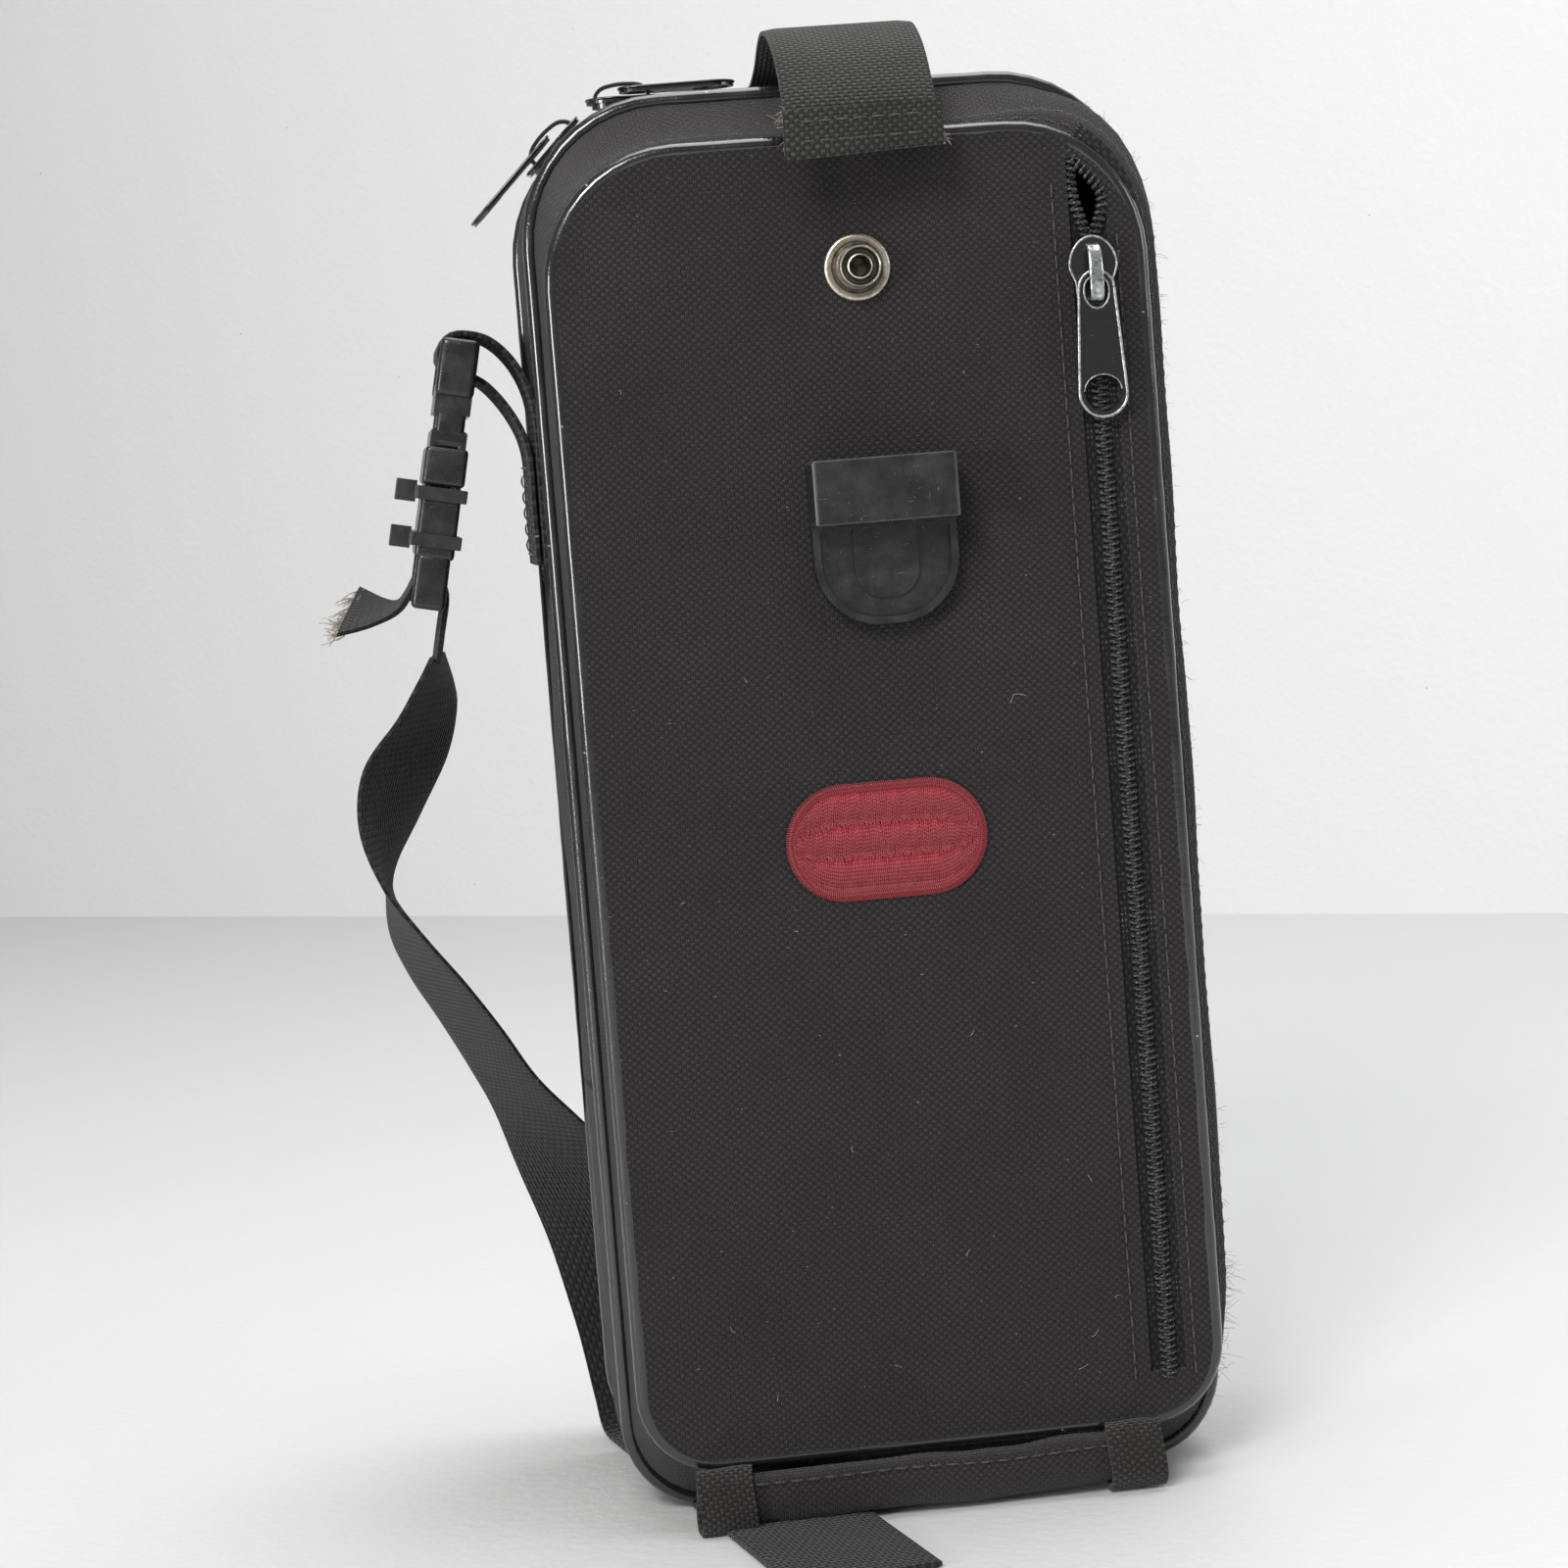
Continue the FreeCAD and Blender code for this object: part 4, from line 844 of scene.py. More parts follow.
def pocket_panel():
    """The pocket's front, folded back along its zip opening."""
    reach, z = side_rows(POCKET_SHAPE, 100)
    left, middle, right = 46, 4, 5
    columns = []
    for share in np.linspace(0, 1, left):
        columns.append(-reach + share * (np.minimum(ZIP_EDGE_LEFT, reach) + reach))
    edge = np.minimum(mouth_right(z), reach)
    for share in np.linspace(0, 1, middle)[1:]:
        columns.append(columns[left - 1] + share * (edge - columns[left - 1]))
    for share in np.linspace(0, 1, right)[1:]:
        columns.append(edge + share * (reach - edge))
    x = np.stack(columns, 1)
    z = np.broadcast_to(z[:, None], x.shape).copy()
    skip = np.zeros((x.shape[0] - 1, x.shape[1] - 1), bool)
    open_rows = (z[:-1, 0] >= ZIP_LOW) & (z[1:, 0] <= 253.5)
    skip[open_rows, left - 1:left + middle - 2] = True
    front = pocket_surface(x, z)
    fold = smooth_step(x, 38.5, 41.0) * (1 - smooth_step(x, 41.9, 42.4))
    front -= 0.45 * fold * (z > ZIP_LOW)
    rear = np.full_like(x, -31.6)
    item = crossing(slab("pocket_panel", x, z, front, rear, skip, (FABRIC,)))
    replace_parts(item, "pocket_front", "lower_pocket_front")
    for name, edge_x in (("left", 38.9), ("right", None)):
        height = np.arange(ZIP_LOW - 2, 250 if edge_x else 240, 1.0)
        across = np.full_like(height, edge_x) if edge_x else mouth_right(height) + 1.6
        depth = pocket_surface(across, height) - (0.35 if edge_x else 0.05)
        line = np.stack([across, depth, height], 1)
        sewn = strands(f"zip_stitches_{name}", stitches(line, (0, -1, 0), 2.4, 0.9, 0.17),
                       BLACK_THREAD)
        crossing(sewn)


# ---------------------------------------------------------------- zips


def coil_row(centres, across, out, phase, reach=(-0.42, 1.55), wire=0.33):
    """One side of a coil zip: a flattened coil, which closes with its mirror."""
    along = running(centres)
    count = int(along[-1] / TOOTH_PITCH) * 10
    at = np.linspace(0, along[-1], count)
    spot = np.stack([np.interp(at, along, centres[:, axis]) for axis in range(3)], 1)
    side = np.stack([np.interp(at, along, across[:, axis]) for axis in range(3)], 1)
    lift = np.stack([np.interp(at, along, out[:, axis]) for axis in range(3)], 1)
    turn = 2 * math.pi * at / TOOTH_PITCH + phase
    middle, half = (reach[0] + reach[1]) / 2, (reach[1] - reach[0]) / 2
    wide = middle - half * np.sign(np.cos(turn)) * np.abs(np.cos(turn)) ** 0.8
    high = 0.42 * np.sin(turn)
    points = spot + side * wide[:, None] + lift * high[:, None]
    ahead = np.gradient(centres, axis=0)
    reference = np.stack([np.interp(at, along, ahead[:, axis]) for axis in range(3)], 1)
    bulge = wire * (1 + 0.35 * np.clip(np.cos(turn), 0, 1))
    return points, bulge, reference


def main_zip():
    """The long zip round the top: two tapes and two coils on the outline."""
    line = part_of(CASE_SHAPE, 81.3, True)
    points, normals = line
    centres = np.insert(points - normals * 0.05, 1, ZIP_Y, axis=1)
    out = np.insert(normals, 1, 0.0, axis=1)
    for side, body, tape_edge, phase in (("rear", "case", 4.2, 0.0),
                                         ("front", "cover", -9.2, math.pi)):
        way = 1 if side == "rear" else -1
        across = np.tile([0.0, float(way), 0.0], (len(points), 1))
        coil = strands(f"zip_coil_{side}", [coil_row(centres, across, out, phase)], COIL)
        depths = np.linspace(ZIP_Y + way * 0.5, tape_edge, 6)
        outer = [(-0.55, y) for y in depths]
        inner = [(-1.25, y) for y in depths[::-1]]
        grid = carried(line, outer + inner + outer[:1])
        tape = skin(f"zip_tape_{side}", grid, cloth_uv(grid), TAPE)
        for item, node, slot in ((coil, "main_coil_" + side, "zip_coil"),
                                 (tape, "main_tape_" + side, "zip_tape")):
            if body == "case":
                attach(item, body)
            else:
                crossing(item)
            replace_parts(item, node)
        edge = 5.2 if side == "rear" else -10.3
        sewn_line = np.insert(points + normals * 0.3, 1, edge, axis=1)
        sewn = strands(f"zip_seam_{side}", stitches(sewn_line, out, 2.5, 0.9, 0.17),
                       BLACK_THREAD)
        if body == "case":
            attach(sewn, "case")
        else:
            crossing(sewn)


def row_line(z, side):
    """x of a row of the pocket zip: closed below the slider, parted above it."""
    if side == "left":
        apart = smooth_step(z, 236, 247) * 2.3
        return ZIP_X - apart
    away = ZIP_X + smooth_step(z, 236, 244) * 2.4
    return np.minimum(away, mouth_right(z) - 1.1)


def pocket_zip():
    """The pocket's zip: closed below the slider, and parted in a V above it."""
    z = np.arange(ZIP_LOW - 1.5, 254.0, 1.0)
    y = -33.35 + 0.5 * smooth_step(z, 243, 254)
    out = np.tile([0.0, -1.0, 0.0], (len(z), 1))
    for side, way, phase in (("left", -1.0, 0.0), ("right", 1.0, math.pi)):
        x = row_line(z, side)
        centres = np.stack([x, y, z], 1)
        ahead = np.gradient(centres, axis=0)
        ahead /= np.linalg.norm(ahead, axis=1)[:, None]
        across = np.cross(ahead, out) * way
        across *= np.sign(across[:, :1]) * way
        coil = strands(f"pocket_coil_row_{side}",
                       [coil_row(centres, across, out, phase)], COIL)
        widths = np.linspace(0.3, 6.6, 6) * way
        grid = np.empty((12, len(z), 3))
        for row, wide in enumerate(widths):
            grid[row] = centres + across * abs(wide) + (0, 0.55, 0)
            grid[11 - row] = centres + across * abs(wide) + (0, 1.15, 0)
        grid = np.concatenate([grid, grid[:1]])
        tape = skin(f"pocket_tape_strip_{side}", grid, cloth_uv(grid), TAPE)
        crossing(coil)
        crossing(tape)
        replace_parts(coil, "pocket_coil_" + side, "lower_pocket_coils")
        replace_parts(tape, "pocket_tape_" + side, "lower_pocket_tapes")


# ---------------------------------------------------------------- hem, patch, lint


def hem():
    """The folded hem under the pocket, and the webbing wrapped round its two ends."""
    across = np.linspace(-45.5, 41.5, 48)
    turn = np.linspace(0, 2 * math.pi, 25)
    grid = np.empty((len(turn), len(across), 3))
    sway = 0.5 * ripple(np.stack([across, across * 0, across * 0], 1), 21, 7.0)
    for row, angle in enumerate(turn):
        spots = np.stack([across, np.full_like(across, math.cos(angle)) * 8,
                          np.full_like(across, math.sin(angle)) * 8], 1)
        size = 1 + 0.1 * ripple(spots, 9.0, 3.0)
        grid[row, :, 0] = across
        grid[row, :, 1] = -35.0 + 3.1 * np.cos(angle) * size - 0.4 * np.abs(sway)
        grid[row, :, 2] = 6.3 + 4.9 * np.sin(angle) * size + sway + (across + 2) * 0.012
    grid[-1] = grid[0]
    item = skin("hem_fold", grid, cloth_uv(grid), GUSSET)
    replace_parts(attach(item, "case"), "hem_roll")
    line = np.stack([across[3:-3], np.full(42, -38.3), 9.6 + sway[3:-3]], 1)
    sewn = strands("hem_stitches", stitches(line, (0, -1, 0), 2.4, 0.9, 0.18), BLACK_THREAD)
    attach(sewn, "case")
    for side, start, end, node in (("left", -46.6, -36.0, "hem_wrap_left"),
                                   ("right", 32.0, 42.6, "hem_wrap_right")):
        wide = np.linspace(start, end, 12)
        turn = np.linspace(0, 2 * math.pi, 33)
        outer = np.empty((len(turn), len(wide), 3))
        inner = np.empty_like(outer)
        for row, angle in enumerate(turn):
            spots = np.stack([wide, np.full_like(wide, math.cos(angle)) * 8,
                              np.full_like(wide, math.sin(angle)) * 8], 1)
            wrinkle = 0.25 * ripple(spots, 4.0, 8.0)
            for target, grow in ((outer, 1.3), (inner, 0.1)):
                target[row, :, 0] = wide + 0.3 * math.sin(angle * 2)
                target[row, :, 1] = -35.0 + (3.4 + grow + wrinkle) * math.cos(angle)
                target[row, :, 2] = np.maximum(
                    6.5 + (5.2 + grow + wrinkle) * math.sin(angle) + (wide + 2) * 0.012, 0.1)
        grid = np.concatenate([outer.transpose(1, 0, 2), inner.transpose(1, 0, 2)[::-1],
                               outer.transpose(1, 0, 2)[:1]])
        item = skin(f"hem_wrap_webbing_{side}", grid, cloth_uv(grid), WORN_WEBBING, capped=False)
        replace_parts(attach(item, "case"), node)


def stadium(straight, radius, count):
    """Evenly spaced points round a long oval, each with its outward direction."""
    half_way = 2 * straight + math.pi * radius
    for travel in np.linspace(0, 2 * half_way, count, endpoint=False):
        side = 1 if travel < half_way else -1
        beyond = travel % half_way - 2 * straight
        if beyond < 0:
            yield side * np.array([-straight - beyond, radius]), side * np.array([0.0, 1.0])
            continue
        angle = math.pi / 2 + beyond / radius
        way = np.array([math.cos(angle), math.sin(angle)])
        yield side * (way * radius - (straight, 0)), side * way


def satin_patch():
    """A plain red embroidered oval: satin stitches over a raised base, and a rope edge."""
    centre_x, centre_z, half, tall = -1.0, 128.5, 18.0, 10.0
    base_y = -33.75
    lines = []
    shuffle = random.Random(11)
    for x in np.arange(-half + 0.5, half - 0.3, 0.36):
        over = max(abs(x) - (half - tall), 0)
        reach = math.sqrt(max(tall ** 2 - over ** 2, 0)) - 0.5
        if reach < 1:
            continue
        cuts = [-reach, -reach / 3 + shuffle.uniform(-0.4, 0.4),
                reach / 3 + shuffle.uniform(-0.4, 0.4), reach]
        for low, high in zip(cuts, cuts[1:]):
            t = np.linspace(0, 1, 6)
            lean = 0.22 * math.sin(x * 1.7) + shuffle.uniform(-0.06, 0.06)
            spots = np.stack([centre_x + x + lean * (t - 0.5),
                              base_y - 0.34 * np.sin(t * math.pi) ** 0.6,
                              centre_z + low + (high - low) * t], 1)
            lines.append((spots, 0.21 + 0.0 * t, (1, 0, 0)))
    rim = []
    for spot, way in stadium(half - tall, tall, 236):
        t = np.linspace(-1, 1, 6)
        slant = np.array([-way[1], way[0]]) * 0.25
        places = spot + (way * 0.95 + slant) * t[:, None]
        spots = np.stack([centre_x + places[:, 0], base_y - 0.42 * (1 - t ** 2) ** 0.5,
                          centre_z + places[:, 1]], 1)
        rim.append((spots, 0.2 + 0.0 * t, (-way[1], 0, way[0])))
    item = strands("satin_patch", lines + rim, RED_THREAD)
    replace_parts(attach(item, "cover"), "embroidered_patch")


def loose_thread(start, way, length, droop, shuffle, size=0.07):
    """A frayed end: a thin thread that wanders and curls."""
    t = np.linspace(0, 1, 12)
    bend = np.array([shuffle.uniform(-1, 1) for _ in range(3)])
    curl = np.array([shuffle.uniform(-1, 1) for _ in range(3)])
    way = np.asarray(way, float)
    points = (np.asarray(start, float) + way * (t * length)[:, None]
              + bend * (0.35 * length * t ** 2)[:, None]
              + curl * (0.22 * length * np.sin(t * 5))[:, None] * t[:, None])
    points[:, 2] -= droop * t ** 2
    return points, size * (1 - 0.5 * t), (0.3, 0.9, 0.2)


def lint():
    """Dust fibres caught on the pocket's weave."""
    shuffle = random.Random(4)
    spots = [(24, 152, 5.0), (-37, 38, 1.5), (31, 30, 1.4), (-12, 70, 1.2), (-44, 215, 1.1),
             (12, 90, 1.0), (33, 60, 1.3), (-25, 160, 0.9), (-30, 24, 1.6), (20, 214, 0.9),
             (36, 37, 1.2), (-40, 120, 0.9), (8, 48, 1.1), (28, 24, 1.8), (-6, 28, 1.3)]
    lines = []
    for x, z, length in spots:
        y = float(pocket_surface(np.array([float(x)]), np.array([float(z)]))[0]) - 0.12
        angle = shuffle.uniform(0, math.pi)
        points, size, side = loose_thread((x, y, z), (math.cos(angle), 0, math.sin(angle)),
                                          length, 0.0, shuffle, 0.07)
        points[:, 1] = y - 0.12 * np.abs(np.sin(np.linspace(0, 3, len(points))))
        lines.append((points, size, side))
    item = strands("lint", [line for line in lines if line[0][0, 2] > 114], PALE_THREAD, 4)
    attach(item, "cover")
    low = strands("lint_low", [line for line in lines if line[0][0, 2] < 80], PALE_THREAD, 4)
    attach(low, "case")
    fold = [line for line in lines if 80 <= line[0][0, 2] <= 114]
    crossing(strands("lint_fold", fold, PALE_THREAD, 4))


def fuzz():
    """Broken fibres standing off the gusset's worn edges, thickest at the lower right."""
    shuffle = random.Random(21)
    y = -24.0
    points, normals = outline(pocket_side_shape(y))
    spot = np.insert(points, 1, y, axis=1)
    way = np.insert(normals, 1, 0.0, axis=1)
    edge = spot + way * pocket_side_lift(spot, y)[:, None]
    lines = {"case": [], "cover": []}
    for place in range(len(edge)):
        x, _, z = edge[place]
        if x < 20 or 79 < z < 114:
            continue
        worn = 5 if z < 42 else 2 if z > 225 else 1
        for _ in range(worn * 2):
            start = edge[place] + (0, shuffle.uniform(-4, 5), shuffle.uniform(-1.5, 1.5))
            start = start - way[place] * 0.4
            aim = way[place] + np.array([0, shuffle.uniform(-0.8, 0.8), shuffle.uniform(-0.8, 0.8)])
            length = shuffle.uniform(0.5, 1.0 + 0.5 * worn)
            body = "case" if z < 80 else "cover"
            lines[body].append(loose_thread(start, aim, length, 0.2, shuffle, 0.045))
    for body, made in lines.items():
        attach(strands("gusset_fuzz_" + body, made, BLACK_THREAD, 3), body)


# ---------------------------------------------------------------- webbing


def ribbon(name, stations, half, thick, material, step=1.5, cupped=0.0):
    """A flat strap. A station is its centre and the direction of its width."""
    line = curved(stations, step)
    centres, across = line[:, :3], line[:, 3:6]
    across = across / np.linalg.norm(across, axis=1)[:, None]
    ahead = np.gradient(centres, axis=0)
    ahead /= np.linalg.norm(ahead, axis=1)[:, None]
    out = np.cross(across, ahead)
    out /= np.linalg.norm(out, axis=1)[:, None]
    share = np.linspace(-1, 1, 13)
    rim = 1 - 0.45 * np.clip((np.abs(share) - 0.8) / 0.2, 0, 1) ** 2
    top = [(s * half, r * thick / 2 + cupped * (1 - s * s)) for s, r in zip(share, rim)]
    low = [(s * half, -r * thick / 2 + cupped * (1 - s * s)) for s, r in zip(share, rim)][::-1]
    loop = top + low + top[:1]
    grid = np.stack([centres + across * wide + out * high for wide, high in loop])
    along = running(centres)
    wide = np.array([spot[0] for spot in loop])
    uv = np.stack(np.broadcast_arrays(along[None], wide[:, None]), -1)
    return skin(name, grid, uv, material)


def top_tab():
    """The webbing tab sewn behind the zip, over the top and down to its folded hem."""
    pivot_y, pivot_z, middle = 16.0, 273.0, 3.0
    path = [(0, 0), (-8, 0.8), (-17, 3), (-24, 6), (-31, 7.6), (-40, 6.3), (-50, 1),
            (-57, -6.5), (-60.5, -13), (-61, -17.5)]
    stations = [(middle, pivot_y + y, pivot_z + z, 1, 0, 0.0) for y, z in path]
    item = ribbon("tab_webbing", stations, STRAP_HALF, 1.5, FADED_WEBBING)
    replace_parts(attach(item, "tab"), "top_tab")
    low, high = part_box("tab_hem")
    front, rear = low.y / MM, high.y / MM
    fold = [(middle, rear - 0.1, high.z / MM - 1.0, 1, 0, 0.02),
            (middle, rear - 0.2, low.z / MM + 1.0, 1, 0, 0.02),
            (middle - 0.3, (front + rear) / 2 - 0.2, low.z / MM - 0.2, 1, 0, 0.04),
            (middle - 0.4, front - 0.2, low.z / MM + 1.2, 1, 0, 0.03),
            (middle - 0.2, front - 0.1, high.z / MM - 0.6, 1, 0, 0.02)]
    hem_fold = ribbon("tab_hem_fold", fold, STRAP_HALF + 0.6, 1.0, FADED_WEBBING, step=0.6)
    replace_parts(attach(hem_fold, "tab"), "tab_hem")
    shuffle = random.Random(5)
    lines = []
    for height in (1.9, 5.4):
        z = low.z / MM + height
        line = [(middle - 12.5, front - 0.75, z), (middle + 12.5, front - 0.75, z + 0.3)]
        lines += stitches(line, (0, -1, 0), 2.4, 0.8, 0.19)
    sewn = strands("tab_stitches", lines, BLACK_THREAD)
    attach(sewn, "tab")
    frayed = []
    for side, count in ((-1, 16), (1, 14)):
        for _ in range(count):
            start = (middle + side * (STRAP_HALF + 0.2), front + shuffle.uniform(0.2, 1.6),
                     low.z / MM + shuffle.uniform(-0.3, 8.0 if side < 0 else 3.0))
            way = (side * shuffle.uniform(0.3, 1), shuffle.uniform(-0.5, 0.2),
                   shuffle.uniform(-0.6, 0.5))
            frayed.append(loose_thread(start, way, shuffle.uniform(0.8, 2.8), 0.4, shuffle))
    threads = strands("tab_frayed_threads", frayed, PALE_THREAD, 4)
    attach(threads, "tab")
    low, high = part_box("tab_seam")
    depth = (low.y + high.y) / 2 / MM
    seam = [(middle, high.y / MM, low.z / MM + 0.9, 1, 0, 0),
            (middle, depth, low.z / MM + 1.1, 1, 0, 0),
            (middle, low.y / MM, low.z / MM + 0.9, 1, 0, 0)]
    seam_fold = ribbon("tab_seam_fold", seam, STRAP_HALF, 1.6, FADED_WEBBING)
    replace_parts(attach(seam_fold, "case"), "tab_seam")


def strap_stub():
    """The short webbing loop on the left side that holds the buckle."""
    path = [(-58.4, 184), (-58.4, 200), (-58.4, 214), (-61, 222.5), (-66, 228.2), (-72, 229.8),
            (-75, 228.2), (-75.9, 225.5), (-74.5, 222.9), (-71.5, 222.1), (-67, 219.3),
            (-62.5, 213), (-60.1, 206), (-60.0, 195), (-60.0, 184)]
    stations = [(x, 17, z, 0, 1, 0) for x, z in path]
    item = ribbon("buckle_loop_webbing", stations, STRAP_HALF, 1.35, WEBBING, step=1.0)
    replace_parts(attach(item, "case"), "strap_stub")
    lines = []
    for offset in (-11.5, 11.5):
        line = [(-60.8, 17 + offset, 185.5), (-60.8, 17 + offset, 204)]
        lines += stitches(line, (-1, 0, 0), 2.4, 0.8, 0.2)
    for height in (186, 203):
        line = [(-60.8, 6, height), (-60.8, 28, height)]
        lines += stitches(line, (-1, 0, 0), 2.4, 0.8, 0.2)
    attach(strands("loop_stitches", lines, BLACK_THREAD), "case")


def buckle_place(x, z):
    """A point on the buckle's own plane, in the row frame."""
    turn = math.radians(12)
    return (-72 + x * math.cos(turn) + z * math.sin(turn),
            226 - x * math.sin(turn) + z * math.cos(turn))


def strap_tail():
    """The strap's end through the buckle's lower bar, with its torn and frayed tip."""
    path = [(3.4, -60), (3.4, -54), (3.4, -47.5), (2.2, -44.4), (0, -43.2), (-2.4, -44.3),
            (-3.7, -47.5), (-5.5, -50.5), (-9.5, -52), (-15, -52.5)]
    stations = []
    for x, z in path:
        place_x, place_z = buckle_place(x, z)
        turned = max(0.0, -4 - x) / 11
        stations.append((place_x, 17 - 3 * turned, place_z, 0.2 * turned, 1, 0.32 * turned))
    item = ribbon("strap_tail_webbing", stations, STRAP_HALF - 0.5, 1.4, WEBBING, step=0.8)
    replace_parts(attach(item, "buckle"), "strap_tail")
    shuffle = random.Random(8)
    tip_x, tip_z = buckle_place(-14.4, -52.5)
    lines = []
    for share in np.linspace(-1, 1, 60):
        start = (tip_x + 0.6 + 2.3 * share, 14 + 12.2 * share,
                 tip_z + 3.9 * share + shuffle.uniform(-0.5, 0.5))
        way = (-1, shuffle.uniform(-0.6, 0.6), shuffle.uniform(-0.6, 0.3))
        lines.append(loose_thread(start, way, shuffle.uniform(1.5, 5.0), 1.0, shuffle, 0.16))
        lines.append(loose_thread(start, way, shuffle.uniform(1.0, 4.0), 0.6, shuffle, 0.09))
    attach(strands("strap_frayed_end", lines, PALE_THREAD, 4), "buckle")


def shoulder_strap():
    """The shoulder strap: from the buckle, folded over itself and under the case."""
    joined_x, joined_z = buckle_place(3.4, -59.0)
    flat = (-math.cos(STRAP_TURN), -math.sin(STRAP_TURN), 0)
    along = (math.sin(STRAP_TURN), -math.cos(STRAP_TURN))
    stations = [
        (joined_x, 17, joined_z, 0.1, 0.99, 0),
        (-82.3, 17, 161, 0.3, 0.95, 0), (-84, 16, 156, 0.42, 0.9, 0),
        (-89, 14, 147, 0.58, 0.81, 0), (-93, 13, 136, 0.42, 0.9, 0),
        (-94.5, 13, 124, 0.05, 0.99, 0), (-91.5, 15, 113, -0.25, 0.97, 0),
        (-86.5, 20, 103, -0.38, 0.92, 0), (-80.5, 28, 92, -0.42, 0.9, 0),
        (-74.5, 38, 80, -0.46, 0.89, 0), (-68, 46, 69, -0.6, 0.8, 0),
        (-61, 51, 56, -0.82, 0.57, 0), (-54, 53, 40, -0.95, 0.3, 0),
        (-49.5, 53, 23, -0.99, -0.02, 0), (-47.4, 50.5, 9) + flat,
        (-46.3, 46, 2.4) + flat]
    for distance in (-38, -20, 0, 20, 38, 58, 78):
        stations.append((STRAP_UNDER[0] + along[0] * distance,
                         STRAP_UNDER[1] + along[1] * distance, 0.78) + flat)
    item = ribbon("strap_webbing", stations, STRAP_HALF, 1.35, WEBBING)
    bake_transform(item)
    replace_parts(item, "shoulder_strap")


# ---------------------------------------------------------------- hardware


def dress(node, material, edge=None, width=0.0, segments=2):
    """A better finish for a CAD part, and a worn bevel along its sharp edges."""
    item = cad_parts[node]
    for place in item.material_slots:
        place.material = material
    if not width:
        return
    weld = item.modifiers.new("joined_faces", "WELD")
    weld.merge_threshold = 0.001 * MM
    bevel = item.modifiers.new("worn_edges", "BEVEL")
    bevel.limit_method = "ANGLE"
    bevel.angle_limit = math.radians(32)
    bevel.width = width * MM
    bevel.segments = segments
    bevel.harden_normals = False
    if edge:
        item.data.materials.append(edge)
        bevel.material = len(item.data.materials) - 1


def hardware():
    """Finishes of the snap's rivet, the dock, the buckle and the cable ties."""
    dress("snap_rivet", NICKEL)
    dress("dock_base", HOOD, SCUFFED, 0.3, 3)
    dress("dock_hood", HOOD, SCUFFED, 0.55, 3)
    dress("dock_rivets", HOOD)
    for node in ("buckle_male", "buckle_female"):
        dress(node, BUCKLE, None, 0.7, 3)
    for node in ("cable_tie_upper", "cable_tie_lower"):
        dress(node, NYLON, None, 0.2, 2)


def plate_piece(name, loops, low, high, place, material):
    """A flat plate with holes: loops of (across, along) in mm, placed by a matrix."""
    work = bmesh.new()
    for loop in loops:
        corners = [work.verts.new((u, v, low)) for u, v in loop]
        for first, second in zip(corners, corners[1:] + corners[:1]):
            work.edges.new((first, second))
    bmesh.ops.triangle_fill(work, edges=work.edges, use_beauty=True)
    made = bmesh.ops.extrude_face_region(work, geom=work.faces[:])
    raised = [item for item in made["geom"] if isinstance(item, bmesh.types.BMVert)]
    bmesh.ops.translate(work, verts=raised, vec=(0, 0, high - low))
    bmesh.ops.recalc_face_normals(work, faces=work.faces)
    mesh = bpy.data.meshes.new(name)
    work.to_mesh(mesh)
    work.free()
    mesh.transform(Matrix.Scale(MM, 4) @ place)
    mesh.materials.append(material)
    item = bpy.data.objects.new(name, mesh)
    bpy.context.scene.collection.objects.link(item)
    return item


def axes(origin, along, out):
    """A matrix from (across, along, out) of a slider to the row frame, in mm."""
    along, out = Vector(along).normalized(), Vector(out).normalized()
    across = along.cross(out)
    turn = Matrix((across, along, out)).transposed().to_4x4()
    return Matrix.Translation(origin) @ turn


def placed(place, points):
    """Points (across, along, out) in the row frame, in mm."""
    return np.array([place @ Vector(point) for point in points])


def arc(centre, wide, tall, start, end, count=12):
    """Points on part of an ellipse."""
    turns = np.radians(np.linspace(start, end, count))
    return [(centre[0] + wide * math.cos(turn), centre[1] + tall * math.sin(turn))
            for turn in turns]


def rim(loop, level, radius, place, closed=True):
    """A thin strand along a loop, for a worn bright edge."""
    points = [(u, v, level) for u, v in loop]
    if closed:
        points = points + points[:2]
    return placed(place, points), radius, tuple(place.col[2][:3])


def zip_pull(name, node, place, long, edge):
    """A pull tab: waisted plate with an eye, a grip and a hole, worn bright at its edges."""
    tip = -long + 4.5
    outer = arc((0, -2.2), 3.35, 3.3, 0, 180) + arc((0, tip), 4.5, 4.5, 180, 360, 16)
    eye = arc((0, -2.2), 2.35, 2.3, 0, 180, 9) + arc((0, -3.0), 2.35, 2.9, 180, 360, 9)
    hole = arc((0, tip + 0.4), 3.55, 3.0, 0, 180, 10) + arc((0, tip), 3.55, 3.5, 180, 360, 12)
    plate = plate_piece(name, [outer, eye, hole], -0.45, 0.45, place, ENAMEL)
    top, bottom = -7.3, tip + 4.7
    grip = [(-2.7, top), (-3.15, bottom)] + arc((0, bottom - 1.1), 3.2, 1.6, 150, 30, 8)
    grip += [(3.15, bottom), (2.7, top)] + arc((0, top), 2.7, 0.5, 20, 160, 6)
    raised = plate_piece(name + "_grip", [grip], 0.4, 0.62, place, ENAMEL)
    edges = [rim(outer, 0.36, 0.3, place), rim(eye, 0.42, 0.2, place),
             rim(hole[:10], 0.42, 0.12, place, closed=False)]
    bright = strands(name + "_edges", edges, edge, 8)
    for item in (plate, raised, bright):
        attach(item, node)
    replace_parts(plate, node)


